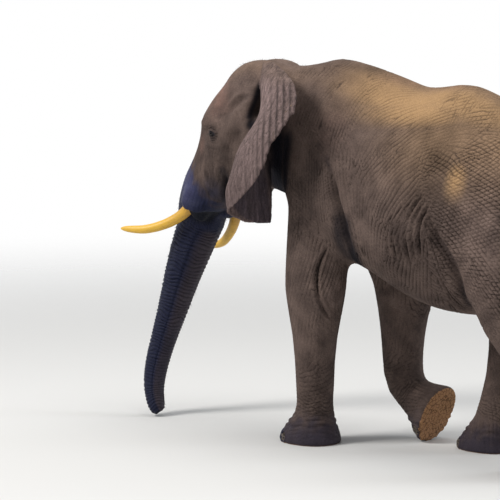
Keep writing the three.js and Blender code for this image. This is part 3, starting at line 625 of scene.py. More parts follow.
class SkinBuilder:
    """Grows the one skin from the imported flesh, smooth first and then in ever finer forms."""

    def __init__(self, settings):
        self.settings = settings
        self.voxel = settings.voxel * 1

    # -------------------------------------------------------- the smooth body

    def flesh(self):
        """All packed flesh as one mesh, each solid a little swollen, so that neighbours meet."""
        joined = bmesh.new()
        for name in (*FLESH, "eye_left", "eye_right"):
            joined.from_mesh(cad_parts[name].data)
        for side, line in TUSKS.items():
            rows = np.linspace(0.0, SHEATH_LIP[side], 14)
            widths = lerp(*CUFF_RADII, rows / SHEATH_LIP[side])
            widths[-1] *= 0.88
            points, faces = tube(along_rows(np.array(line), rows), widths, 28)
            cuff = mesh_from("cuff", points, faces)
            joined.from_mesh(outward(cuff))
            bpy.data.meshes.remove(cuff)
        bmesh.ops.remove_doubles(joined, verts=joined.verts, dist=1e-5)
        joined.normal_update()
        for vertex in joined.verts:
            vertex.co += vertex.normal * self.settings.swell
        return mesh_of(joined, bpy.data.meshes.new("flesh"))

    def coarse_body(self):
        """The flesh as one closed surface with its facets rounded off."""
        body = placed("flesh", self.flesh())
        applied(body, "REMESH", mode="VOXEL", voxel_size=self.settings.coarse_voxel)
        shape = Shape(body.data)
        x, y, z = shape.points.T
        trunk_part = smooth(0.10, 0.30, to_line(shape.points, TRUNK[:, :3])[1])
        body_part = smooth(-0.80, -0.50, x) * smooth(0.95, 1.40, z)
        softness = np.maximum.reduce([
            body_part * 0.95,
            lerp(0.05, 0.17, smooth(-1.38, -1.10, x + 0.5 * (2.1 - z)))
            * smooth(0.06, 0.2, z) * (1 - trunk_part),
            0.05 * smooth(0.02, 0.1, z),
        ])
        tail = smooth(1.80, 2.10, x) * smooth(0.20, 0.12, np.abs(y)) * smooth(1.2, 1.3, z)
        softness = softness * (1 - 0.97 * tail)
        group = body.vertex_groups.new(name="softness")
        steps = np.round(softness * SOFT_STEPS).astype(int)
        for step in range(1, SOFT_STEPS + 1):
            group.add(np.where(steps == step)[0].tolist(), step / SOFT_STEPS, "REPLACE")
        applied(body, "SMOOTH", factor=1.0, iterations=SOFT_ROUNDS, vertex_group="softness")
        shape = Shape(body.data)
        for side, sign in SIDES.items():
            for (x, y, z), reach, height in FORMS.values():
                if y != 0 or side == "left":
                    shape.push(blob(shape.points, (x, -sign * y, z), reach) * height)
        shape.write()
        applied(body, "SUBSURF", levels=1, render_levels=1)
        return body

    def ear_sheet(self, side):
        """One ear as a closed pleated sheet."""
        rows, columns = EAR_ROWS, EAR_COLUMNS
        down, out = np.meshgrid(np.linspace(0, 1, rows), np.linspace(0, 1, columns), indexing="ij")
        level = down * (len(EAR_ROOT) - 1)
        curves = [along_rows(line, level) for line in (EAR_ROOT, EAR_FOLD, EAR_EDGE)]
        outer = smooth(0.45, 0.85, out)
        centre = bent(*curves, out)
        wobble = 0.008 * np.sin(9 * down + 4 * out) + 0.04 * (down - 0.4) ** 2
        across = centre @ EAR_ACROSS
        turn = pleat_turn(across + wobble)
        random = np.random.default_rng(23)
        lobe = random.uniform(0.72, 1.0, EAR_LOBES)[np.floor(turn).astype(int)]
        scallop = humps(turn) ** 1.1 * lobe
        broad = smooth(-0.92, -0.80, across)
        rounded = humps(turn) ** 0.55 * lobe
        edge_cut = self.settings.ear_scallop * lerp(0.36, 1.0, broad) * (1 - rounded)
        out = out - edge_cut * smooth(0.06, 0.2, down) * smooth(0.60, 1.0, out)
        centre = bent(*curves, out)
        normal = self.sheet_normals(centre)
        depth = self.settings.ear_pleat * lerp(0.30, 1.0, broad * smooth(0.55, 0.85, out))
        pleat = depth * outer * smooth(0.04, 0.20, down) * (scallop - 0.6)
        billow = 0.010 * np.sin(out * 7 + down * 5) * smooth(0.0, 0.3, out)
        centre = centre + normal * (pleat + billow)[..., None]
        normal = self.sheet_normals(centre)
        if side == "right":
            centre[..., 2] -= RIGHT_EAR_DROP * (1 - down)
        thick = lerp(*EAR_THICK, np.sqrt(np.clip(out, 0, 1))) / 2
        layers = [centre + normal * (sign * thick)[..., None] for sign in (1, -1)]
        points = np.concatenate([layer.reshape(-1, 3) for layer in layers])
        front = grid_faces(rows, columns)
        count = rows * columns
        faces = front + [tuple(index + count for index in face[::-1]) for face in front]
        rim = ([(row, 0) for row in range(rows)]
               + [(rows - 1, column) for column in range(1, columns)]
               + [(row, columns - 1) for row in range(rows - 2, -1, -1)]
               + [(0, column) for column in range(columns - 2, 0, -1)])
        rim = [row * columns + column for row, column in rim]
        faces += [(b, a, a + count, b + count) for a, b in zip(rim, rim[1:] + rim[:1])]
        if side == "right":
            points[:, 1] *= -1
        mesh = outward(mesh_from("ear_" + side, points, faces))
        self.ear_points.append(centre[::4, ::4].reshape(-1, 3) * (1, SIDES[side] * -1, 1))
        self.ear_out.append(out[::4, ::4].ravel())
        self.ear_wobble.append(wobble[::4, ::4].ravel())
        return placed("ear_" + side, mesh)

    @staticmethod
    def sheet_normals(centre):
        """Unit normals of a sheet of points in rows and columns."""
        return unit(np.cross(np.gradient(centre, axis=0), np.gradient(centre, axis=1)))

    def whole(self):
        """Body and ears as one closed surface of small even faces."""
        self.ear_points, self.ear_out, self.ear_wobble = [], [], []
        parts = [self.coarse_body(), *(self.ear_sheet(side) for side in SIDES)]
        joined = bmesh.new()
        for part in parts:
            joined.from_mesh(part.data)
            bpy.data.objects.remove(part)
        skin = placed("skin", mesh_of(joined, bpy.data.meshes.new("skin")))
        applied(skin, "REMESH", mode="VOXEL", voxel_size=self.voxel)
        return skin

    # -------------------------------------------------------- places on it

    def read_places(self, shape):
        """How far each point belongs to the ears, trunk, head and so on."""
        points = shape.points
        x, y, z = points.T
        self.side = np.where(y < 0, -1.0, 1.0).astype(np.float32)
        self.left_points = points * np.stack(
            [np.ones_like(y), np.where(y < 0, 1, -1), np.ones_like(y)], axis=1)
        tree_points = np.concatenate(self.ear_points)
        tree = KDTree(len(tree_points))
        for index, point in enumerate(tree_points):
            tree.insert(point, index)
        tree.balance()
        near = np.where((x > -1.0) & (x < 0.0) & (np.abs(y) > 0.18) & (z > 1.72))[0]
        self.ear = np.zeros(len(points), np.float32)
        found = [tree.find(points[index])[1:] for index in near]
        self.ear[near] = [away < 0.032 for _, away in found]
        self.ear *= smooth(0.36, 0.44, np.abs(y) + 0.12 * smooth(2.6, 2.9, z))
        nearest = [index for index, _ in found]
        self.ear_hind, self.pleat = np.zeros((2, len(points)), np.float32)
        out = np.concatenate(self.ear_out)[nearest]
        self.ear_hind[near] = smooth(0.52, 0.40, out) * self.ear[near]
        across = self.left_points[near] @ EAR_ACROSS
        turn = pleat_turn(across + np.concatenate(self.ear_wobble)[nearest])
        strength = smooth(0.50, 0.80, out) * lerp(0.35, 1.0, smooth(-0.92, -0.80, across))
        # How deep each point lies in a pleat's valley, for the painted shade there
        self.pleat[near] = (np.abs(np.cos(math.pi * turn)) ** 4 * strength
                            * self.ear[near] * smooth(3.0, 2.85, z[near]))
        away, self.along = to_line(points, softened(TRUNK[:, :3], 4))
        self.trunk = smooth(0.08, 0.22, self.along) * (away < 0.30) * smooth(2.05, 1.75, z)
        self.head = smooth(-0.70, -0.86, x) * (1 - self.ear) * (1 - self.trunk)

    def lie(self, points, normals):
        """The way that the wrinkles run at each point, and their depth and crossing strength."""
        weights = np.stack([
            np.exp(-((points[:, 0] - x) ** 2 + (points[:, 2] - z) ** 2) / WRINKLE_BLEND ** 2)
            for x, z in WRINKLES[:, :2]
        ]) + 1e-9
        weights /= weights.sum(0)
        double = np.radians(WRINKLES[:, 2]) * 2
        angle = np.arctan2(np.sin(double) @ weights, np.cos(double) @ weights) / 2
        back = np.stack([np.ones(len(points)), 0.4 * np.tanh(-points[:, 1] / 0.1),
                         np.zeros(len(points))], axis=1)
        back = unit(back - normals * (back * normals).sum(1)[:, None])
        up = np.cross(normals, back)
        up *= np.where(up[:, 2] < 0, -1, 1)[:, None]
        way = back * np.cos(angle)[:, None] + up * np.sin(angle)[:, None]
        return way.astype(np.float32), WRINKLES[:, 3] @ weights, WRINKLES[:, 4] @ weights

    # -------------------------------------------------------- the finer forms

    def fold(self, points, line, width, depth, right_shift=0.0, roll=0.35):
        """Push along the normal that cuts a soft fold with raised sides, on both sides alike."""
        push = np.zeros(len(points), np.float32)
        for side, sign in SIDES.items():
            path = softened(line)
            path[:, 1] *= -sign
            path[:, 0] += right_shift if side == "right" else 0
            near = within(points, path.min(0) - 6 * width, path.max(0) + 6 * width)
            if not len(near):
                continue
            away, at = to_line(points[near], path)
            ends = np.minimum(at, at.max() - at) / max(at.max(), 1e-6)
            fade = smooth(0.0, 0.30, ends)
            reach = width * (0.4 + 0.6 * fade)
            shape = (np.exp(-(away / reach) ** 2)
                     - roll * np.exp(-((away - 2.2 * reach) / (1.1 * reach)) ** 2))
            push[near] -= depth * shape * fade
        return push

    def fold_body(self, shape):
        """The skin's folds, wide and narrow, and the swell over each elbow."""
        points = shape.points
        push = np.zeros(len(points), np.float32)
        wide = np.zeros(len(points), np.float32)
        for line, width, depth in FOLDS.values():
            if width > WIDE_FOLD:
                wide += self.fold(points, line, width, depth, roll=WIDE_ROLL)
            else:
                push += self.fold(points, line, width, depth)
        for step in range(FLANK_ARCS):
            arc = [Vector(place) + FLANK_ARC_STEP * step for place in FLANK_ARC]
            push += self.fold(points, arc, FLANK_ARC_WIDTH, FLANK_ARC_DEPTHS[step % 2])
        for step, (width, depth) in enumerate(ELBOW_LINES):
            line = [Vector(place) - Vector((ELBOW_LINE_STEP * step, 0, 0)) for place in ELBOW_FOLD]
            push += self.fold(points, line, width, depth, ELBOW_STEPS["right"])
        (x, y, z), reach, height = ELBOW_SWELL
        for side, sign in SIDES.items():
            push += height * blob(points, (x + ELBOW_STEPS[side], sign * y, z), reach)
        # Painted shade in the folds, weaker in the wide ones
        raise_to(self.crease, slice(None), (1 - self.ear) * np.maximum(
            smooth(0.004, 0.018, -push), 0.8 * smooth(0.020, 0.060, -wide)))
        shape.push((push + wide) * (1 - self.ear))

    def hang_lip(self, shape):
        """The upper lip hangs as a ledge over the root of the trunk and the mouth."""
        points = shape.points
        push = np.zeros((len(points), 3), np.float32)
        edge = softened(LIP_EDGE)
        left = self.left_points
        near = np.where((np.abs(left[:, 0] + 1.45) < 0.34) & (np.abs(left[:, 2] - 1.80) < 0.24))[0]
        x, y, z = left[near].T
        over = z - np.interp(x, edge[:, 0], edge[:, 2]) + 0.004 * np.sin(x * 60)
        ends = smooth(-1.72, -1.62, x) * smooth(-1.14, -1.30, x) * smooth(0.05, 0.14, -y)
        roll = 0.022 * np.exp(-((over - 0.035) / 0.040) ** 2)
        under = -0.045 * smooth(0.006, -0.012, over) * smooth(-0.20, -0.03, over)
        away = np.stack([0.35 * smooth(-1.5, -1.3, x), -np.ones(len(near)), 0 * x], axis=1)
        away[:, 1] *= -self.side[near]
        push[near] = away * ((roll + under) * ends)[:, None]
        push[near, 2] -= 0.012 * ends * np.exp(-((over - 0.010) / 0.022) ** 2)
        shape.points = points + push
        # Painted shade under the ledge, where its shadow falls
        raise_to(self.hollow, near,
                 smooth(0.004, -0.010, over) * smooth(-0.17, -0.09, over) * ends)

    def ring_trunk(self, shape):
        """Rings round the trunk, closer towards its tip, and its flat hinder face."""
        near = np.where(self.trunk > 0.001)[0]
        points, along = shape.points[near], self.along[near]
        wander = ripples(points, 0.16, seed=3, waves=24)
        coarse, fine = self.settings.trunk_ring, self.settings.trunk_ring_tip
        length = along.max()
        fall = (coarse - fine) / length
        turns = -np.log(1 - fall * (along + 0.008 * wander) / coarse) / fall
        ridge = humps(turns)
        centre = along_rows(TRUNK[:, :3], self.trunk_row(along))
        hinder = smooth(0.25, 0.75, ((points - centre) @ (0.95, 0.05, 0.30))
                        / np.maximum(np.linalg.norm(points - centre, axis=1), 1e-4))
        broken = 0.75 + 0.25 * ripples(points, 0.07, seed=4, waves=24)
        depth = self.settings.trunk_ring_depth * lerp(1.0, 0.65, smooth(0.5, 1.8, along))
        rings = depth * (ridge ** 0.6 - 0.75) * lerp(1, 0.75, hinder) * broken
        seam = np.abs(hinder - 0.5) / 0.5
        shape.push(rings * self.trunk[near] - SEAM_DEPTH * np.exp(-(seam / 0.35) ** 2)
                   * self.trunk[near], near)
        # Painted shade between the rings
        raise_to(self.crease, near, (1 - ridge ** 0.6) * self.trunk[near])
        self.hinder[near] = hinder * self.trunk[near]

    def trunk_row(self, along):
        """Row of the trunk's sections at a length along it."""
        lengths = np.concatenate([[0], np.cumsum(
            np.linalg.norm(np.diff(TRUNK[:, :3], axis=0), axis=1))])
        return np.interp(along, lengths * along.max() / lengths[-1], np.arange(len(lengths)))

    def ring_legs(self, shape):
        """Crosswise creases round the wrists and ankles."""
        points = shape.points
        push = np.zeros(len(points), np.float32)
        for name, axis in LEGS.items():
            line = softened(axis, 5)
            near = within(points, line.min(0) - 0.30, line.max(0) + 0.30)
            away, at = to_line(points[near], line)
            wander = ripples(points[near], 0.12, seed=len(name), waves=20)
            ridge = humps((at + 0.010 * wander) / LEG_RING)
            left = at.max() - at
            share = smooth(0.30, 0.05, left) * smooth(0.0, 0.03, left) * smooth(0.26, 0.20, away)
            push[near] += LEG_RING_DEPTH * (ridge ** 0.6 - 0.7) * share
            # Painted shade in the creases
            raise_to(self.crease, near, (1 - ridge ** 0.6) * share)
        shape.push(push)

    def shape_feet(self, shape):
        """Low rolls round the feet."""
        z = shape.points[:, 2]
        foot = smooth(0.26, 0.16, z) * (self.trunk < 0.1)
        swell = FOOT_ROLL_HEIGHT * np.sin(z * 2 * math.pi / FOOT_ROLL + ripples(
            shape.points, 0.2, seed=9, waves=16))
        shape.push(foot * swell * smooth(0.10, 0.16, z))

    def nail_beds(self, shape):
        """Raised cuticle round every nail."""
        push = np.zeros(len(shape.points), np.float32)
        for centre in nail_centres():
            away = np.linalg.norm(shape.points - centre, axis=1)
            push += CUTICLE * np.exp(-((away - 0.048) / 0.010) ** 2)
            push -= NAIL_BED * np.exp(-(away / 0.036) ** 4)
        shape.push(push)

    def wrinkle(self, shape):
        """Long wrinkles that follow the body's lie, crossed by shorter ones."""
        calm = (1 - self.trunk) * (1 - self.ear) * smooth(0.02, 0.10, shape.points[:, 2])
        near = np.where(calm > 0.02)[0]
        points, normals, calm = shape.points[near], shape.normals()[near], calm[near]
        mirror = np.ones((len(near), 3), np.float32)
        mirror[:, 1] = -self.side[near]
        way, depth, cross = self.lie(self.left_points[near], normals * mirror)
        way *= mirror
        spacing = self.settings.wrinkle_spacing
        first = grooves(points, spacing, 11, way, 0.10, normals, waves=230)
        over = np.cross(normals, way).astype(np.float32) * 0.80 + way * 0.60
        second = grooves(points, spacing * 0.95, 12, over, 0.07, normals, waves=200)
        patchy = smooth(-1.4, 1.0, ripples(points, 0.34, seed=13, waves=24))
        rough = np.clip(depth / 0.0050, 0, 1)
        groove = np.maximum(first, second * np.clip(cross, 0, 1)) * lerp(
            0.40 + 0.60 * patchy, 0.72 + 0.28 * patchy, rough)
        groove = groove * lerp(1.0, 0.6, self.head[near])
        shape.points[near] -= normals * (
            self.settings.wrinkle_depth * depth * calm * (groove - 0.30))[:, None]
        weight = np.clip(depth / 0.0032, 0.25, 1)
        # Painted shade in the grooves
        raise_to(self.crease, near, groove ** 2 * calm * weight)

    def streak_ears(self, shape):
        """Fine upright ribs down the ears."""
        near = np.where(self.ear > 0.01)[0]
        points, normals = shape.points[near], shape.normals()[near]
        upright = np.tile(np.float32([0.0, 0.05, 0.99]), (len(near), 1))
        over = points[:, 2] - EAR_WAIST
        upright[:, 0] = np.where(over > 0, -0.33, 0.33) * smooth(0.0, 0.25, np.abs(over))
        upright = unit(upright)
        groove = grooves(points, 0.027, 21, upright, 0.20, normals, waves=150, width=0.6)
        furrow = grooves(points, 0.075, 23, upright, 0.10, normals, waves=90, width=0.4)
        share = self.ear[near] * (0.45 + 0.55 * smooth(-1, 1, ripples(points, 0.2, 22, waves=20)))
        push = 0.0036 * (0.35 - groove) * share + 0.0022 * (0.4 - furrow) * self.ear[near]
        shape.points[near] = points + normals * push[:, None]
        # Painted shade in the ribs and in the valleys of the pleats
        dark = np.maximum(groove ** 2 * share * 0.50, furrow ** 3 * self.ear[near] * 0.25)
        raise_to(self.crease, near, np.maximum(dark, 0.85 * self.pleat[near]))

    def open_eyes(self, shape):
        """Almond opening, rolled lids and the folds round them."""
        for side in SIDES:
            centre, facing, back, up = eye_axes(side)
            away = np.linalg.norm(shape.points - centre, axis=1)
            near = np.where(away < 0.13)[0]
            offset = shape.points[near] - centre
            along, over, out = offset @ back, offset @ up, offset @ facing
            half_height = lerp(0.0085, 0.0115, over > 0) * (1 - 0.80 * np.clip(
                (along + 0.002 * np.sign(over)) / 0.024, -1, 1) ** 2)
            lid = np.hypot(along / 0.0245, over / np.maximum(half_height, 0.003))
            orbit = smooth(0.115, 0.050, away[near])
            wobble = 0.0016 * ripples(shape.points[near], 0.045, seed=61, waves=24)
            lift = 0.0048 * np.exp(-((lid - 1.30) / 0.24) ** 2)
            dark = np.zeros(len(near))
            for level, bow, width, height, reach in EYE_FOLDS:
                middle = level + wobble - bow * (along + 0.004) ** 2
                ridge = np.exp(-((over - middle) / width) ** 2)
                ridge *= np.exp(-(np.abs(along + 0.002) / reach) ** 3)
                lift += height * ridge
                if height < 0:
                    dark = np.maximum(dark, ridge * min(1.0, -height / 0.006))
            # Fine creases fan out behind the outer corner
            fan = np.arctan2(over + 0.004, along - 0.010)
            rays = np.exp(-(np.sin(fan * 6.5 + 0.6) / 0.45) ** 2) * smooth(0.9, 0.5, np.abs(fan))
            rays *= smooth(0.030, 0.042, along) * smooth(0.090, 0.060, along)
            lift -= 0.0036 * rays
            level = lerp(out, np.full(len(near), EYE_RADIUS + 0.001),
                         smooth(0.075, 0.030, away[near])) + lift * orbit
            opening = smooth(1.06, 0.82, lid)
            level = lerp(level, np.full(len(near), EYE_RADIUS - 0.014), opening)
            shape.points[near] += (level - out)[:, None] * facing
            # Painted shade over the eye and in its socket, with the bare dark skin of the lids
            shade = np.hypot((along - 0.006) / 0.042, (over - 0.008) / 0.028)
            raise_to(self.damp_eye, near, np.maximum.reduce([
                smooth(1.9, 1.25, lid), smooth(1.25, 0.70, shade),
                0.35 * smooth(0.085, 0.030, away[near])]))
            # Painted shade: the wrinkles' darkening is cleared near the eye, and the lid folds and
            # creases are darkened
            self.crease[near] *= smooth(0.03, 0.07, away[near])
            raise_to(self.crease, near, 0.9 * np.maximum(dark, rays * 0.6) * orbit)

    def open_trunk_tip(self, shape):
        """Nostrils in the end of the trunk, with its two fingers."""
        end = TRUNK[-1, :3]
        down = unit(end - TRUNK[-3, :3])
        offset = shape.points - end
        along = offset @ down
        across = offset - along[:, None] * down
        side = across[:, 1]
        fore = across @ np.cross(down, (0, 1, 0))
        radius = np.linalg.norm(across, axis=1)
        near = (np.linalg.norm(offset, axis=1) < 0.12) & (along > -0.035)
        cup = smooth(0.034, 0.018, radius) * near
        septum = 0.75 * np.exp(-(side / 0.006) ** 2) * smooth(0.030, 0.0, np.abs(fore))
        finger = np.exp(-((np.abs(fore) - 0.036) / 0.014) ** 2) * np.exp(-(side / 0.020) ** 2) * near
        push = finger * 0.014 - 0.034 * cup * (1 - septum)
        shape.points = shape.points + push[:, None] * down
        # Painted shade inside the nostrils
        self.nostril = np.clip(cup, 0, 1)

    def refine(self, skin):
        """Smaller faces on the trunk, eyes and nails, and smallest at the lids and trunk tip."""
        eyes = [np.array(EYE_PLACE) * (1, sign, 1) for sign in SIDES.values()]
        points = Shape(skin.data).points
        away_trunk, along = to_line(points, TRUNK[:, :3])
        fine = (along > 0.05) & (away_trunk < 0.26) & (points[:, 2] < 1.8)
        self.split(skin, fine | close_to(points, *((eye, 0.17) for eye in eyes),
                                         *((nail, 0.06) for nail in nail_centres())))
        self.split(skin, close_to(Shape(skin.data).points, (TRUNK[-1, :3], 0.06),
                                  *((eye, 0.075) for eye in eyes)))

    def split(self, skin, fine):
        """Halves the edges between fine points."""
        made = bmesh.new()
        made.from_mesh(skin.data)
        made.edges.ensure_lookup_table()
        edges = [edge for edge in made.edges
                 if fine[edge.verts[0].index] and fine[edge.verts[1].index]]
        bmesh.ops.subdivide_edges(made, edges=edges, cuts=1, use_grid_fill=True)
        mesh_of(made, skin.data)

    def build(self):
        """The finished skin, with what its material reads."""
        skin = self.whole()
        self.refine(skin)
        shape = Shape(skin.data)
        shape.points = shape.relax(
            shape.points, np.full(len(shape.points), 0.6, np.float32), 5)
        self.crease, self.hinder, self.damp_eye, self.hollow = (
            np.zeros(len(shape.points), np.float32) for _ in range(4))
        self.read_places(shape)
        self.calm_up = shape.normals()[:, 2].copy()
        for change in (self.fold_body, self.wrinkle, self.hang_lip, self.ring_trunk,
                       self.ring_legs, self.shape_feet, self.streak_ears, self.nail_beds,
                       self.open_eyes, self.open_trunk_tip, self.stay_inside):
            change(shape)
        shape.write()
        self.paint(shape)
        skin.data.shade_smooth()
        return skin

    def stay_inside(self, shape):
        """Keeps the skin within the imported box, with level soles."""
        low, high = np.array(CAD_LOW) + MARGIN, np.array(CAD_HIGH) - MARGIN
        low[2] = CAD_LOW[2]
        shape.points = np.clip(shape.points, low, high)
        flat = shape.points[:, 2] < 0.004
        shape.points[flat, 2] = CAD_LOW[2]

    def paint(self, shape):
        """Where the hide is damp, dusty, red with earth, and so on, and where light, shade and the
        sky's reflection are painted.
        """
        points = shape.points
        x, y, z = points.T
        drift = ripples(points, 0.45, seed=31, waves=32) * 0.5
        left = self.left_points
        ragged = drift + 0.7 * ripples(points, 0.09, seed=32, waves=32)
        muzzle = x + 0.55 * (z - 2.0) + 0.018 * ragged
        damp = np.maximum.reduce([
            smooth(0.02, 0.22, self.along) * (self.trunk > 0),
            0.92 * smooth(-1.37, -1.59, muzzle) * smooth(2.40 + 0.08 * (y < 0), 2.02,
                                                         z + 0.06 * ragged)
            * (1 - self.ear),
            0.50 * blob(left, (-1.34, -0.30, 1.96), (0.17, 0.3, 0.17)) + 0.03 * ragged,
            0.85 * smooth(1.93, 1.83, z + 0.02 * ragged) * smooth(-1.15, -1.50, x + 0.03 * ragged)
            * (1 - self.ear),
            0.55 * smooth(0.42, 0.05, z + 0.03 * ragged),
        ])
        damp = damp * (1 - 0.42 * self.hinder)
        # Painted shade: the lower back of the ears takes the dark damp colour, and a darker tone below
        shaded_ear_back = self.ear_hind * smooth(EAR_WAIST, 2.15, z)
        damp = np.maximum(damp, 0.45 * shaded_ear_back)
        body = smooth(-0.40, 0.45, x)
        dust = np.maximum.reduce([
            0.85 * smooth(0.15, 0.80, self.calm_up) * smooth(2.35, 2.85, z) * (0.25 + 0.75 * body)
            * (1 - 0.5 * np.exp(-(y / 0.15) ** 2)),
            0.42 * smooth(1.75, 2.60, z) * smooth(0.0, 1.1, x),
            *patches(left, DUST_PATCHES),
        ]) * (1 - 0.7 * self.ear)
        earth = np.maximum.reduce(patches(left, EARTH_PATCHES))
        # Painted light and shade with some of the hide's own tone: lit thigh and back, shaded cheek
        # and flank, darker low down and on the lower back of the ears
        tone = sum(patches(left, LIGHT_SHADE_AND_TONES))
        tone = tone - 0.12 * smooth(1.3, 0.9, z) - 0.25 * shaded_ear_back
        # Painted reflection: the pale blue of the sky mirrored on the wet muzzle
        sheen = blob(left, (-1.66, -0.20, 2.02), (0.13, 0.4, 0.17)) * (1 - self.trunk)
        # Painted shade: the hide along these lines is darkened, on both sides alike
        for line, width, amount in PAINTED_SHADE_LINES:
            for side in SIDES.values():
                way = softened(line) * (1, -side, 1)
                close = np.where((np.abs(points - way.mean(0)) < 0.75).all(1))[0]
                away = to_line(points[close], way)[0]
                raise_to(self.hollow, close, amount * np.exp(-(away / width) ** 3)
                         * (1 - 0.9 * self.ear[close]))
        place, axis, normals = np.array(SOLE_CENTRE), np.array(SOLE_AXIS), shape.normals()
        sole = (((points - place) @ axis > -0.012) & close_to(points, (place, 0.32))
                & (normals @ axis > 0.3))
        sole |= (z < 0.006) & (normals[:, 2] < -0.7) & (self.trunk < 0.1)
        streak = blob(left, (-1.36, -0.30, 2.08), (0.22, 0.4, 0.24)) * (1 - self.trunk)
        kept_on(shape.mesh, crease=self.crease, damp=damp, dust=dust, earth=earth, sole=sole,
                ear=self.ear * (1 - 0.85 * smooth(2.84, 3.0, z)),
                streak=np.maximum(streak, self.ear), lid=self.damp_eye, nostril=self.nostril,
                tone=0.5 + 0.5 * tone, sheen=sheen, hollow=self.hollow)


# ---------------------------------------------------------------- materials

class Amount:
    """A number on a socket, so that sums in a material read as plain sums."""

    def __init__(self, nodes, socket):
        self.nodes = nodes
        self.socket = socket

    def reckon(self, operation, *terms):
        """The result of one Math node."""
        return self.nodes.add("ShaderNodeMath", {"operation": operation}, dict(enumerate(terms)))

    def __add__(self, other):
        return self.reckon("ADD", self, other)

    def __radd__(self, other):
        return self.reckon("ADD", other, self)

    def __sub__(self, other):
        return self.reckon("SUBTRACT", self, other)

    def __rsub__(self, other):
        return self.reckon("SUBTRACT", other, self)

    def __mul__(self, other):
        return self.reckon("MULTIPLY", self, other)

    def __rmul__(self, other):
        return self.reckon("MULTIPLY", other, self)

    def __abs__(self):
        return self.reckon("ABSOLUTE", self)

    def larger(self, other):
        """The larger of two numbers."""
        return self.reckon("MAXIMUM", self, other)

    def ramp(self, low, high):
        """Softly from 0 at low to 1 at high."""
        return self.nodes.add(
            "ShaderNodeMapRange", {"interpolation_type": "SMOOTHSTEP"},
            {"Value": self, "From Min": low, "From Max": high}, "Result")


class Nodes:
    """A node tree, built node by node."""

    def __init__(self, tree):
        self.tree = tree

    def join(self, value, socket):
        """Links a socket, or sets it to a plain value."""
        if isinstance(value, Amount):
            self.tree.links.new(value.socket, socket)
        else:
            socket.default_value = value

    def add(self, kind, settings=None, inputs=None, output=0):
        """New node: its settings first, then its inputs; gives one of its outputs."""
        node = self.tree.nodes.new(kind)
        for key, value in (settings or {}).items():
            setattr(node, key, value)
        for key, value in (inputs or {}).items():
            self.join(value, node.inputs[key])
        return Amount(self, node.outputs[output])


class Finish(Nodes):
    """One material, with the patterns that the finishes share."""

    def __init__(self, name):
        self.material = bpy.data.materials.new(name)
        self.material.use_nodes = True
        super().__init__(self.material.node_tree)
        self.shader = self.tree.nodes["Principled BSDF"]

    def place(self):
        """Place on the object, in metres."""
        return self.add("ShaderNodeTexCoord", output="Object")

    def stored(self, name):
        """A number that the mesh keeps at each point."""
        return self.add("ShaderNodeAttribute", {"attribute_name": name}, output="Fac")

    def noise(self, scale, detail=3.0, rough=0.5, at=None, output="Fac"):
        """Cloudy noise."""
        return self.add("ShaderNodeTexNoise", {}, {
            "Vector": at or self.place(), "Scale": scale, "Detail": detail,
            "Roughness": rough}, output)

    def cracks(self, scale, at):
        """Distance to the edges of small uneven plates."""
        return self.add("ShaderNodeTexVoronoi", {"feature": "DISTANCE_TO_EDGE"},
                        {"Vector": at, "Scale": scale}, "Distance")

    def vector(self, operation, first, second, output="Vector"):
        """Sum on two vectors."""
        return self.add("ShaderNodeVectorMath", {"operation": operation}, {0: first, 1: second},
                        output)

    def stretched(self, sizes, at=None):
        """Places scaled along each axis."""
        return self.vector("MULTIPLY", at or self.place(), sizes)

    def moved(self, by, amount):
        """Places shifted about by a coloured noise, so that no pattern lies straight."""
        return self.vector("ADD", self.place(), self.vector("MULTIPLY", by, (amount,) * 3))

    def mix(self, first, second, share, kind="MIX"):
        """Blend of two colours."""
        return self.add("ShaderNodeMix", {"data_type": "RGBA", "blend_type": kind}, {
            "Factor": share, 6: first, 7: second}, 2)

    def shaded(self, colour, value):
        """A colour made lighter or darker by a number."""
        grey = self.add("ShaderNodeCombineColor", {}, {0: value, 1: value, 2: value})
        return self.mix(colour, grey, 1.0, "MULTIPLY")

    def bump(self, height, distance, strength):
        """Fine relief in the normal alone."""
        return self.add("ShaderNodeBump", {}, {
            "Height": height, "Distance": distance, "Strength": strength}, "Normal")

    def set(self, **inputs):
        """Sets or links the shader's own sockets."""
        names = {socket.name.replace(" ", "_").lower(): socket for socket in self.shader.inputs}
        for name, value in inputs.items():
            self.join(value, names[name])

    def on(self, piece):
        """Makes this the piece's only material."""
        piece.data.materials.clear()
        piece.data.materials.append(self.material)


def flat(colour):
    """A colour with no see-through share."""
    return (*colour, 1.0)


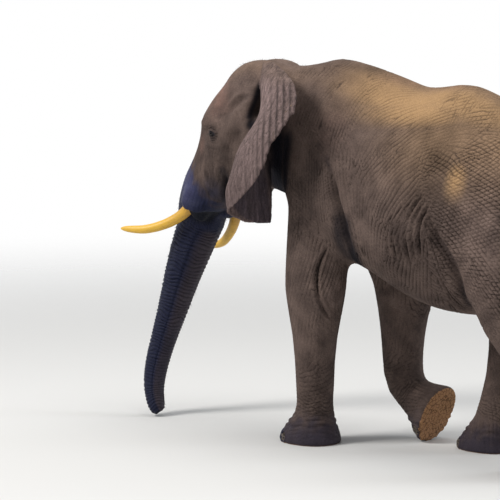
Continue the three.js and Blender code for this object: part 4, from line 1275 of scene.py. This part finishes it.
def hide_finish(colours):
    """Dry wrinkled hide under dust, wet and dark down the trunk, with painted light, shade and
    reflection.
    """
    hide = Finish("hide")
    crease, damp, dust, earth, sole, ear, lid, nostril, tone, sheen, hollow, streak = map(
        hide.stored, ("crease", "damp", "dust", "earth", "sole", "ear", "lid", "nostril", "tone",
                      "sheen", "hollow", "streak"))
    broad = hide.noise(2.2, 4, 0.6)
    patches = hide.noise(9.0, 5, 0.65)
    grit = hide.noise(120.0, 4, 0.7)
    bent_place = hide.moved(hide.noise(30.0, output="Color"), 0.030)
    plates = hide.cracks(48.0, bent_place)
    scales = hide.cracks(130.0, bent_place)
    plate_line = 1.0 - plates.ramp(0.0, 0.14)
    scale_line = 1.0 - scales.ramp(0.0, 0.16)
    colour = hide.mix(flat(colours.hide_deep), flat(colours.hide_pale),
                      (broad * 0.6 + patches * 0.5).ramp(0.34, 0.76))
    colour = hide.mix(colour, flat(colours.ear), ear * 0.8)
    dusty = (dust * (0.45 + patches * 0.55 + broad * 0.6)).ramp(0.0, 1.05)
    dusty = dusty * (1.0 - crease * 0.60)
    colour = hide.mix(colour, flat(colours.dust), dusty)
    redden = (earth * (0.2 + patches * 1.6)).ramp(0.05, 1.1) * 0.8
    colour = hide.mix(colour, flat(colours.earth), redden)
    # Damp hide, and the painted shade on the lower back of the ears, take the dark wet colour
    wet = (damp + patches * 0.30 - 0.15).ramp(0.10, 0.85)
    # Painted light and shade, with the hide's own tone
    colour = hide.shaded(colour, tone * 2.0)
    # Painted reflection: the wet muzzle turns pale sky blue where the sky is mirrored
    wet_and_reflection_colour = hide.mix(flat(colours.damp), flat(colours.painted_sky_blue),
                          sheen * (0.4 + patches) + grit * 0.10)
    colour = hide.mix(colour, wet_and_reflection_colour, wet * 0.97)
    # Painted shade in the creases, with the fine lines between the hide's plates
    dark = crease * 0.74 + plate_line * 0.16 + scale_line * 0.08
    runs = hide.noise(1.0, 3, 0.6, hide.stretched((42.0, 42.0, 4.5), bent_place))
    colour = hide.shaded(colour, 1.0 + (runs - 0.5) * (streak * 2.2))
    colour = hide.shaded(colour, 1.0 - dark * (1.0 - wet * 0.35))
    colour = hide.shaded(colour, 0.80 + grit * 0.38)
    cracked = hide.cracks(26.0, bent_place).ramp(0.0, 0.10)
    pad = hide.mix(flat(colours.sole_deep), flat(colours.sole), cracked * 0.7 + patches * 0.4)
    colour = hide.mix(colour, pad, sole)
    # Painted shade: the deep hollows turn near-black blue
    colour = hide.mix(colour, flat(colours.shade), hollow * 0.96)
    # Painted shade round the eyes, with the bare dark lids
    colour = hide.mix(colour, flat(colours.lid), lid * 0.92)
    # Painted shade inside the nostrils
    colour = hide.mix(colour, flat(colours.lid), nostril)
    height = (0.55 * plates.ramp(0.0, 0.22) + 0.28 * scales.ramp(0.0, 0.30) + grit * 0.25
              + hide.noise(60.0, 3) * 0.30 + sole * cracked)
    hide.set(base_color=colour, roughness=0.86 - wet * 0.34 - lid * 0.30 + crease * 0.06,
             specular_ior_level=0.16, normal=hide.bump(height, 0.0030, 0.85))
    return hide


def ivory_finish(colours):
    """Tusk ivory, stained honey brown towards the lip, with long fine checks."""
    ivory = Finish("ivory")
    along, ring = ivory.stored("along"), ivory.stored("shade")
    place = ivory.stretched((0.35, 1.0, 1.0))
    streaks = ivory.noise(70.0, 4, 0.6, place)
    clouds = ivory.noise(9.0, 4, 0.6)
    stain = (1.0 - along + clouds * 0.5 - 0.25).ramp(0.25, 1.05)
    colour = ivory.mix(flat(colours.ivory), flat(colours.ivory_stain), stain)
    dirty = (streaks * 0.9 + ring * 0.2).ramp(0.55, 0.85) * (0.25 + stain * 0.45)
    colour = ivory.mix(colour, flat(colours.ivory_dirt), dirty)
    checks = ivory.noise(160.0, 2, 0.5, place)
    ivory.set(base_color=colour, roughness=0.34 + streaks * 0.22, coat_weight=0.06,
              coat_roughness=0.3, normal=ivory.bump(streaks * 0.7 + checks * 0.3, 0.0012, 0.6))
    return ivory


def horn_finish(colours):
    """Toenail horn: grey brown, ridged along its growth, worn pale at the edge."""
    horn = Finish("horn")
    along = horn.stored("along")
    fibres = horn.noise(90.0, 4, 0.6, horn.stretched((1.0, 1.0, 0.2)))
    growth = horn.noise(60.0, 3, 0.6, horn.stretched((0.15, 0.15, 1.6)))
    colour = horn.mix(flat(colours.horn_deep), flat(colours.horn), fibres * 0.5 + growth * 0.6)
    colour = horn.mix(colour, flat(colours.horn_worn), (1.0 - along).ramp(0.68, 1.0) * 0.7)
    horn.set(base_color=colour, roughness=0.45 + growth * 0.3,
             normal=horn.bump(growth * 0.7 + fibres * 0.4, 0.0016, 0.8))
    return horn


PUPIL = (0.004, 0.003, 0.003)


def eye_finish(colours):
    """Brown iris with fine spokes round a dark pupil, under a clear wet coat."""
    eye = Finish("eye")
    away, turn = eye.stored("away"), eye.stored("turn")
    spokes = eye.add("ShaderNodeTexNoise", {"noise_dimensions": "2D"}, {
        "Vector": eye.add("ShaderNodeCombineXYZ", {}, {0: turn * 6.0, 1: away * 0.6}),
        "Scale": 14.0, "Detail": 4.0}, "Fac")
    iris = eye.mix(flat(colours.iris_deep), flat(colours.iris), spokes.ramp(0.35, 0.70))
    colour = eye.mix(iris, flat(colours.eye_white), away.ramp(0.30, 0.34))
    colour = eye.mix(flat(PUPIL), colour, away.ramp(0.115, 0.135))
    dark_ring = 1.0 - abs(away - 0.31).ramp(0.0, 0.05)
    eye.set(base_color=eye.shaded(colour, 1.0 - 0.6 * dark_ring), roughness=0.22,
            coat_weight=0.6, coat_roughness=0.04)
    return eye


def hair_finish(name, deep, pale):
    """Stiff dark hair, a little paler towards its ends."""
    hair = Finish(name)
    along = hair.stored("along")
    colour = hair.mix(flat(deep), flat(pale), along * 0.7 + hair.noise(40.0, 2) * 0.4)
    hair.set(base_color=colour, roughness=0.42 + along * 0.2)
    return hair


# ---------------------------------------------------------------- the smaller pieces

def dress(piece, finish, slot, *nodes):
    """Gives a piece its finish and its place on the body, and hides the plain parts it stands for."""
    finish.on(piece)
    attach(piece, BODY)
    if nodes:
        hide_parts(*nodes)
    return piece


def eyeball(side, settings):
    """Ball with a raised cornea, facing outwards."""
    centre, facing, across, up = eye_axes(side)
    rows, columns = EYE_GRID
    polar = np.linspace(0.02, math.pi - 0.02, rows)
    turn = around(columns)
    radius = (EYE_RADIUS - EYE_ROOM) * np.ones(rows)
    radius += settings.cornea * smooth(0.62, 0.30, polar)
    ring = np.cos(turn)[:, None] * across + np.sin(turn)[:, None] * up
    points = centre + radius[:, None, None] * (
        np.cos(polar)[:, None, None] * facing + np.sin(polar)[:, None, None] * ring)
    faces = grid_faces(rows, columns, closed=True)
    last = (rows - 1) * columns
    faces += [tuple(range(columns))[::-1], tuple(range(last, last + columns))]
    mesh = outward(mesh_from("eyeball_" + side, points.reshape(-1, 3), faces))
    kept_on(mesh, away=np.repeat(polar / math.pi, columns),
            turn=np.tile(np.abs(np.sin(turn / 2)), rows))
    return placed("eyeball_" + side, mesh)


def tusk_piece(side):
    """One tusk: a tapering curve, slightly fluted, its tip worn to a facet."""
    steps, sides = TUSK_GRID
    line = np.array(TUSKS[side])
    share = np.linspace(0, 1, steps)
    centres = along_rows(line, share * (len(line) - 1))
    radii = (TUSK_RADIUS - TUSK_ROOM) * (1 - 0.42 * share - 0.48 * share ** 16)
    random = np.random.default_rng(41 if side == "left" else 42)
    turn = around(sides)
    flute = sum(np.cos(turn * number + random.uniform(0, 6))[None] * size
                for number, size in TUSK_FLUTES)
    waves = 0.006 * np.sin(share * 40 + 2 * np.sin(share * 9))
    points, faces = tube(centres, radii[:, None] * (0.985 + flute * 0.6 + waves[:, None]), sides)
    points[:, 0] = np.maximum(points[:, 0], CAD_LOW[0] + MARGIN)
    mesh = outward(mesh_from("tusk_%s_dressed" % side, points, faces))
    kept_on(mesh, along=np.repeat(share, sides), shade=np.tile(0.5 + 0.5 * np.cos(turn), steps))
    return placed(mesh.name, mesh)


NAIL_LEVELS = 4  # how often its faces are halved


def nail_piece(node, settings):
    """One toenail, domed and ridged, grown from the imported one."""
    name = node.name + "_dressed"
    piece = placed(name, node.data.copy())
    piece.matrix_world = node.matrix_world.copy()
    applied(piece, "SUBSURF", levels=NAIL_LEVELS, render_levels=NAIL_LEVELS)
    shape = Shape(piece.data)
    centre = shape.points.mean(0)
    offset = (shape.points - centre) * settings.nail_fill
    low, high = offset[:, 2].min(), offset[:, 2].max()
    along = (offset[:, 2] - low) / (high - low)
    ridge = 1 + 0.016 * np.sin(along * 26) + 0.010 * ripples(shape.points, 0.016, 51, waves=16)
    shape.points = centre + offset * ridge[:, None]
    shape.points[:, 2] = np.maximum(shape.points[:, 2], CAD_LOW[2] + MARGIN)
    shape.write()
    kept_on(piece.data, along=along)
    piece.data.name = name
    piece.data.shade_smooth()
    return piece


PATCH = 0.0015  # half width of each hair's place on the skin's map
TUFT_END = 0.812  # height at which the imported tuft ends


def strands(name, roots, ways, lengths, width, droop, patches, rings=6, sides=3):
    """Tapering hairs as solid mesh, each on its own small patch of the skin's map."""
    count = len(roots)
    roots, ways, lengths = np.array(roots), unit(np.array(ways)), np.array(lengths)
    along = np.linspace(0, 1, rings)
    path = (roots[:, None] + ways[:, None] * (lengths[:, None] * along)[..., None]
            + np.array([0, 0, -1.0]) * ((droop * lengths)[:, None] * along ** 2)[..., None])
    ahead = unit(np.gradient(path, axis=1))
    across = unit(np.cross(ahead, (0.31, 0.62, 0.72)))  # no hair grows this way
    over = np.cross(ahead, across)
    turn = around(sides)
    radius = np.asarray(width)[..., None] * (1 - 0.85 * along ** 2)
    radius = np.broadcast_to(radius, (count, rings))
    ring = (across[:, :, None] * np.cos(turn)[None, None, :, None]
            + over[:, :, None] * np.sin(turn)[None, None, :, None])
    points = path[:, :, None] + ring * radius[:, :, None, None]
    points = np.clip(points, np.array(CAD_LOW) + 2 * MARGIN, np.array(CAD_HIGH) - 2 * MARGIN)
    each = rings * sides
    pattern = np.array(grid_faces(rings, sides, closed=True))
    faces = (pattern[None] + (np.arange(count) * each)[:, None, None]).reshape(-1, 4)
    caps = [[start + side for side in order] for start in range(0, count * each, each)
            for order in (range(sides), range(each - 1, each - sides - 1, -1))]
    mesh = outward(mesh_from(name, points.reshape(-1, 3), list(map(tuple, faces)) + caps))
    kept_on(mesh, along=np.broadcast_to(along[None, :, None], (count, rings, sides)))
    spot = np.stack([np.cos(turn), np.sin(turn)], axis=1)[None, None] * (
        PATCH * (1 - 0.5 * along))[None, :, None, None]
    uv = (np.asarray(patches)[:, None, None] + spot).reshape(-1, 2)
    layer = mesh.uv_layers.new(name="OFBake")
    corner = np.empty(len(mesh.loops), np.int32)
    mesh.loops.foreach_get("vertex_index", corner)
    layer.data.foreach_set("uv", uv[corner].astype(np.float32).ravel())
    return placed(name, mesh)


def tail_hairs(settings):
    """Two rows of long wiry hairs down the end of the tail."""
    random = np.random.default_rng(61)
    count = settings.tail_hairs
    share = random.uniform(0, 1, count) ** 0.8
    turn = random.uniform(0, 2 * math.pi, count)
    rows = lerp(5.9, 7.0, share)
    centre = along_rows(TAIL, rows)
    radius = lerp(0.022, 0.012, share)
    out = np.stack([np.cos(turn) * 1.3, np.sin(turn) * 0.75, np.zeros(count)], axis=1)
    roots = centre + out * radius[:, None] * 0.5
    ways = out * random.uniform(0.01, 0.07, count)[:, None] + np.array([-0.02, 0.01, -1.0])
    lengths = lerp(0.20, 0.40, random.uniform(0, 1, count))
    lengths = np.minimum(lengths, roots[:, 2] - TUFT_END)
    width = random.uniform(0.0007, 0.0012, count)
    patches = np.stack([turn / (2 * math.pi) * 0.9 + 0.05, share * 0.9 + 0.05], axis=1)
    return strands("tail_hairs", roots, ways, lengths, width, 0.05, patches)


BRISTLE_BEDS = {  # centre, reach, count and length
    "chin": ((-1.52, 0.0, 1.72), (0.16, 0.10, 0.06), 120, 0.034),
    "trunk": ((-1.85, -0.06, 1.35), (0.35, 0.20, 0.55), 420, 0.022),
    "crown": ((-1.02, 0.0, 3.02), (0.25, 0.22, 0.10), 420, 0.022),
}


def short_bristles(skin, settings):
    """Sparse bristles on the chin, along the trunk and over the crown."""
    random = np.random.default_rng(71)
    roots, ways, lengths, patches = [], [], [], []
    for bed, (centre, reach, count, longest) in BRISTLE_BEDS.items():
        for _ in range(int(count * settings.bristle_share)):
            guess = Vector(random.normal(centre, reach))
            found, place, normal, _ = skin.closest_point_on_mesh(guess)
            if not found:
                raise RuntimeError("no skin below the %s bristles" % bed)
            if bed == "chin" and normal.z > -0.1:
                continue
            roots.append(place - normal * 0.002)
            ways.append(normal + Vector((0.2, 0, -0.5)))
            lengths.append(longest * random.uniform(0.5, 1.2))
            patches.append((0.5 + math.atan2(place.y, place.z - 1.0) / 7, 0.5 + place.x / 6))
    droop = random.uniform(0.1, 0.4, len(roots))
    return strands("bristles", roots, ways, lengths, 0.0006, droop, patches, rings=4)


def eye_lashes(settings):
    """Long lashes on the upper lids."""
    roots, ways, lengths, patches = [], [], [], []
    random = np.random.default_rng(81)
    for side, sign in SIDES.items():
        centre, facing, back, up = eye_axes(side)
        for _ in range(settings.lashes):
            place = random.uniform(-1, 1)
            level = 0.0115 * (1 - 0.70 * place ** 2) + random.uniform(0.0005, 0.004)
            roots.append(centre + back * place * 0.022 + up * level
                         + facing * (EYE_RADIUS + 0.0005))
            ways.append(facing * 0.9 + back * place * 0.3 - up * 0.25
                        + random.normal(0, 0.08, 3))
            lengths.append(random.uniform(0.018, 0.040))
            patches.append((0.5 + sign * 0.25 + place * 0.01, 0.7 + level))
    return strands("lashes", roots, ways, lengths, 0.0005, 0.35, patches, rings=5)


# ---------------------------------------------------------------- settings

def amount(name, description, default, low=0.0, high=1.0, **kind):
    """A number that a user can change."""
    return FloatProperty(name=name, description=description, default=default, min=low, max=high,
                         **kind)


def length(*words_and_sizes):
    """A length in metres that a user can change."""
    return amount(*words_and_sizes, unit="LENGTH", precision=4)


def share(*words_and_sizes):
    """A share that a user can change."""
    return amount(*words_and_sizes, subtype="FACTOR")


def colour(name, description, default):
    """A colour that a user can change."""
    return FloatVectorProperty(name=name, description=description, default=default, size=3,
                               min=0.0, max=1.0, subtype="COLOR")


class SkinSettings(bpy.types.PropertyGroup):
    """Sizes of the skin's forms"""
    coarse_voxel: length("First mesh", "Size of the faces before smoothing", 0.016, 0.01, 0.04)
    voxel: length("Mesh", "Size of the skin's own faces", 0.0078, 0.006, 0.03)
    swell: length("Overlap", "How far the solids swell so that they join", 0.0015, 0.0, 0.01)
    wrinkle_spacing: length("Wrinkle spacing", "Distance between wrinkles", 0.031, 0.02, 0.1)
    wrinkle_depth: share("Wrinkle depth", "Depth of the wrinkles, against the plain depths",
                         3.0, 0.0, 5.0)
    trunk_ring: length("Rings at the face", "Spacing of the trunk's upper rings", 0.036)
    trunk_ring_tip: length("Rings at the tip", "Spacing of the trunk's last rings", 0.024)
    trunk_ring_depth: length("Ring depth", "Depth of the trunk's rings", 0.014, 0.0, 0.03)
    ear_pleat: length("Ear pleats", "Depth of the pleats by the ear's free edge", 0.038, 0, 0.08)
    ear_scallop: share("Ear scallops", "Depth of the scallops, as a share of the ear's width",
                       0.105, 0.0, 0.3)


class PieceSettings(bpy.types.PropertyGroup):
    """Sizes and counts of the smaller pieces"""
    cornea: length("Cornea", "How far the cornea stands out", 0.0008, 0.0, 0.003)
    nail_fill: share("Nail fill", "Size of each nail against the rounded-off packed one",
                     1.18, 0.8, 1.3)
    tail_hairs: IntProperty(
        name="Tail hairs", description="Hairs in the tail's tuft", default=900, min=50, max=5000)
    bristle_share: share("Bristles", "How dense the short bristles are", 1.0, 0.0, 3.0)
    lashes: IntProperty(
        name="Lashes", description="Lashes on each eye", default=46, min=0, max=200)


class ColourSettings(bpy.types.PropertyGroup):
    """Colours of all the finishes"""
    hide_deep: colour("Hide, dark", "Hide in its darker patches", (0.078, 0.055, 0.048))
    hide_pale: colour("Hide, pale", "Hide in its paler patches", (0.186, 0.132, 0.112))
    ear: colour("Ear", "Front of the ears", (0.215, 0.155, 0.150))
    dust: colour("Dust", "Sandy dust on the back", (0.45, 0.278, 0.138))
    earth: colour("Red earth", "Red earth on the brow", (0.23, 0.120, 0.096))
    damp: colour("Damp hide", "Wet hide on trunk and lower face", (0.004, 0.008, 0.031))
    # Painted reflection: the pale sky blue mirrored on the wet muzzle beside the tusks
    painted_sky_blue: colour("Damp hide, pale", "Drying hide beside the tusks", (0.054, 0.056, 0.136))
    sole: colour("Sole", "Raised pads of the sole", (0.44, 0.235, 0.115))
    sole_deep: colour("Sole cracks", "Cracks between the pads of the sole", (0.060, 0.028, 0.016))
    # Painted shade: the near-black blue laid into the deepest folds and hollows
    shade: colour("Shade", "Hide in the deepest folds", (0.0022, 0.0034, 0.0085))
    # Painted shade round the eyes and inside the nostrils, with the bare dark skin of the lids
    lid: colour("Lids", "Bare skin of the lids and nostrils", (0.006, 0.006, 0.011))
    ivory: colour("Ivory", "Clean ivory", (0.78, 0.46, 0.045))
    ivory_stain: colour("Ivory stain", "Ivory stained by sap", (0.46, 0.22, 0.045))
    ivory_dirt: colour("Ivory dirt", "Dirt in the grain of the ivory", (0.20, 0.115, 0.045))
    horn: colour("Nail", "Toenail horn", (0.16, 0.125, 0.095))
    horn_deep: colour("Nail, dark", "Toenail horn between its ridges", (0.055, 0.042, 0.034))
    horn_worn: colour("Nail edge", "Worn edge of the nails", (0.28, 0.22, 0.16))
    iris: colour("Iris", "Spokes of the iris", (0.085, 0.034, 0.012))
    iris_deep: colour("Iris, dark", "Iris between its spokes", (0.022, 0.010, 0.005))
    eye_white: colour("Eye white", "White of the eye", (0.16, 0.115, 0.085))
    hair: colour("Hair", "Tail hair and bristles", (0.010, 0.009, 0.009))
    hair_pale: colour("Hair ends", "Ends of the hairs", (0.040, 0.032, 0.026))


class StageSettings(bpy.types.PropertyGroup):
    """Floor, light and lens"""
    floor: colour("Floor", "Floor and backdrop", (0.80, 0.80, 0.79))
    fill: amount("Fill", "Strength of the even light", 0.38, 0.0, 3.0)
    key: amount("Key", "Strength of the main soft lamp", 2100.0, 0.0, 20000.0, unit="POWER")
    top: amount("Top", "Strength of the overhead lamp", 560.0, 0.0, 20000.0, unit="POWER")
    lens: amount("Lens", "Focal length of the camera", 210.8, 20.0, 400.0,
                 subtype="DISTANCE_CAMERA")


# Each lamp: place, what it looks at, size, share of its setting's strength, and tone
LAMPS = {
    "key": ((-7.0, -12.0, 14.0), (0.2, 0.0, 1.4), 6.0, ("key", 1.0), (1.0, 0.975, 0.94)),
    "overhead": ((2.0, 1.0, 12.0), (0.4, 0.0, 1.0), 9.0, ("top", 1.0), (1.0, 0.98, 0.95)),
    "rim": ((12.0, 10.0, 7.0), (0.4, 0.0, 1.6), 6.0, ("key", 0.25), (0.9, 0.95, 1.0)),
}
FILL_TONE = (0.95, 0.97, 1.0)
CAMERA_PLACE, CAMERA_TARGET = (14.378, -18.564, 4.438), (-0.934, -0.316, 1.513)
SENSOR_WIDTH, FARTHEST_SEEN = 36.0, 400.0  # millimetres; metres
FLOOR_REACH, FLOOR_RINGS, FLOOR_SIDES = 60.0, 24, 96
FLOOR_FADE = (5.0, 15.0)  # it turns clear between these distances
FLOOR_DROP = 0.001  # it lies this far below the soles


# ---------------------------------------------------------------- operators

class ELEPHANT_OT_skin(bpy.types.Operator):
    """Builds the one skin of head, body, ears and legs"""
    bl_idname = "elephant.skin"
    bl_label = "Skin"

    def execute(self, context):
        skin = SkinBuilder(context.scene.elephant_skin).build()
        dress(skin, hide_finish(context.scene.elephant_colours), "skin", *FLESH, *EAR_NODES)
        return {"FINISHED"}


class ELEPHANT_OT_eyes(bpy.types.Operator):
    """Sets both eyeballs into their lids, with lashes"""
    bl_idname = "elephant.eyes"
    bl_label = "Eyes"

    def execute(self, context):
        settings, colours = context.scene.elephant_pieces, context.scene.elephant_colours
        finish = eye_finish(colours)
        for side in SIDES:
            dress(eyeball(side, settings), finish, "eye", "eye_" + side)
        dress(eye_lashes(settings), hair_finish("lash", colours.hair, colours.hair_pale),
              "tail_hair")
        return {"FINISHED"}


class ELEPHANT_OT_tusks(bpy.types.Operator):
    """Builds both tusks"""
    bl_idname = "elephant.tusks"
    bl_label = "Tusks"

    def execute(self, context):
        finish = ivory_finish(context.scene.elephant_colours)
        for side in SIDES:
            dress(tusk_piece(side), finish, "ivory", "tusk_" + side)
        return {"FINISHED"}


class ELEPHANT_OT_nails(bpy.types.Operator):
    """Builds the toenails of all four feet"""
    bl_idname = "elephant.nails"
    bl_label = "Nails"

    def execute(self, context):
        finish = horn_finish(context.scene.elephant_colours)
        for name in sorted(NAILS):
            piece = nail_piece(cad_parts[name], context.scene.elephant_pieces)
            dress(piece, finish, "horn", name)
        return {"FINISHED"}


class ELEPHANT_OT_hair(bpy.types.Operator):
    """Plants the tail's tuft and the sparse bristles"""
    bl_idname = "elephant.hair"
    bl_label = "Tail tuft and bristles"

    def execute(self, context):
        settings, colours = context.scene.elephant_pieces, context.scene.elephant_colours
        finish = hair_finish("hair", colours.hair, colours.hair_pale)
        dress(tail_hairs(settings), finish, "tail_hair", "tail_tuft")
        dress(short_bristles(bpy.data.objects["skin"], settings), finish, "tail_hair")
        return {"FINISHED"}


class ELEPHANT_OT_stage(bpy.types.Operator):
    """Lays the floor and sets the lamps and the camera"""
    bl_idname = "elephant.stage"
    bl_label = "Floor, light and camera"

    def execute(self, context):
        settings = context.scene.elephant_stage
        self.floor(settings)
        self.world(context.scene, settings)
        for name, (place, target, size, (power, part), tone) in LAMPS.items():
            lamp = bpy.data.lights.new(name, "AREA")
            lamp.shape = "DISK"
            lamp.size = size
            lamp.energy = getattr(settings, power) * part
            lamp.color = tone
            aimed(name, lamp, place, target)
        lens = bpy.data.cameras.new("camera")
        lens.lens = settings.lens
        lens.sensor_width = SENSOR_WIDTH
        lens.clip_end = FARTHEST_SEEN
        context.scene.camera = aimed("camera", lens, CAMERA_PLACE, CAMERA_TARGET)
        context.scene.view_settings.view_transform = "Standard"
        return {"FINISHED"}

    def floor(self, settings):
        """A wide round floor that fades out before its edge."""
        radii = FLOOR_REACH * np.linspace(0, 1, FLOOR_RINGS) ** 1.6
        turn = around(FLOOR_SIDES)
        level = np.full((FLOOR_RINGS, FLOOR_SIDES), CAD_LOW[2] - FLOOR_DROP)
        points = np.stack([np.outer(radii, np.cos(turn)), np.outer(radii, np.sin(turn)), level],
                          axis=2).reshape(-1, 3)
        faces = [face[::-1] for face in grid_faces(FLOOR_RINGS - 1, FLOOR_SIDES, closed=True)]
        floor = placed("floor", mesh_from("floor", points[FLOOR_SIDES:],
                                          faces + [tuple(range(FLOOR_SIDES))]))
        finish = Finish("floor")
        finish.set(base_color=flat(settings.floor), roughness=0.9, specular_ior_level=0.1)
        away = finish.vector("LENGTH", finish.place(), (0, 0, 0), "Value")
        blend = finish.add("ShaderNodeMixShader", {}, {
            0: away.ramp(*FLOOR_FADE), 1: Amount(finish, finish.shader.outputs[0]),
            2: finish.add("ShaderNodeBsdfTransparent")})
        finish.join(blend, finish.tree.nodes["Material Output"].inputs["Surface"])
        finish.on(floor)

    def world(self, scene, settings):
        """Even light on the bull, and plain white for the camera, mirrors and glass."""
        scene.world = bpy.data.worlds.new("studio")
        scene.world.use_nodes = True
        nodes = Nodes(scene.world.node_tree)
        nodes.tree.nodes.remove(nodes.tree.nodes["Background"])
        camera, glossy, through = (
            nodes.add("ShaderNodeLightPath", output="Is %s Ray" % kind)
            for kind in ("Camera", "Glossy", "Transmission"))
        fill, white = (
            nodes.add("ShaderNodeBackground", {}, {"Color": flat(tone), "Strength": strength})
            for tone, strength in ((FILL_TONE, settings.fill), ((1.0, 1.0, 1.0), 1.0)))
        mixed = nodes.add("ShaderNodeMixShader", {}, {
            0: camera.larger(glossy).larger(through), 1: fill, 2: white})
        nodes.join(mixed, nodes.tree.nodes["World Output"].inputs["Surface"])


class ELEPHANT_PT_parts(bpy.types.Panel):
    """Lists the settings and the pieces in the order they are built"""
    bl_label = "Elephant"
    bl_idname = "ELEPHANT_PT_parts"
    bl_space_type = "VIEW_3D"
    bl_region_type = "UI"
    bl_category = "Elephant"

    def draw(self, context):
        for group in GROUPS:
            box = self.layout.box()
            settings = getattr(context.scene, group)
            for name in settings.__annotations__:
                box.prop(settings, name)
        for operator in OPERATORS:
            self.layout.operator(operator.bl_idname)


GROUPS = {
    "elephant_skin": SkinSettings,
    "elephant_pieces": PieceSettings,
    "elephant_colours": ColourSettings,
    "elephant_stage": StageSettings,
}
OPERATORS = (ELEPHANT_OT_skin, ELEPHANT_OT_eyes, ELEPHANT_OT_tusks, ELEPHANT_OT_nails,
             ELEPHANT_OT_hair, ELEPHANT_OT_stage)


def register():
    """Makes the settings, operators and panel known."""
    for kind in (*GROUPS.values(), *OPERATORS, ELEPHANT_PT_parts):
        bpy.utils.register_class(kind)
    for name, kind in GROUPS.items():
        setattr(bpy.types.Scene, name, PointerProperty(type=kind))


def unregister():
    """Takes them away again."""
    for name in GROUPS:
        delattr(bpy.types.Scene, name)
    for kind in reversed((*GROUPS.values(), *OPERATORS, ELEPHANT_PT_parts)):
        bpy.utils.unregister_class(kind)


def main():
    """Builds everything in order."""
    register()
    for operator in OPERATORS:
        category, name = operator.bl_idname.split(".")
        getattr(getattr(bpy.ops, category), name)()


if __name__ == "__main__":
    main()
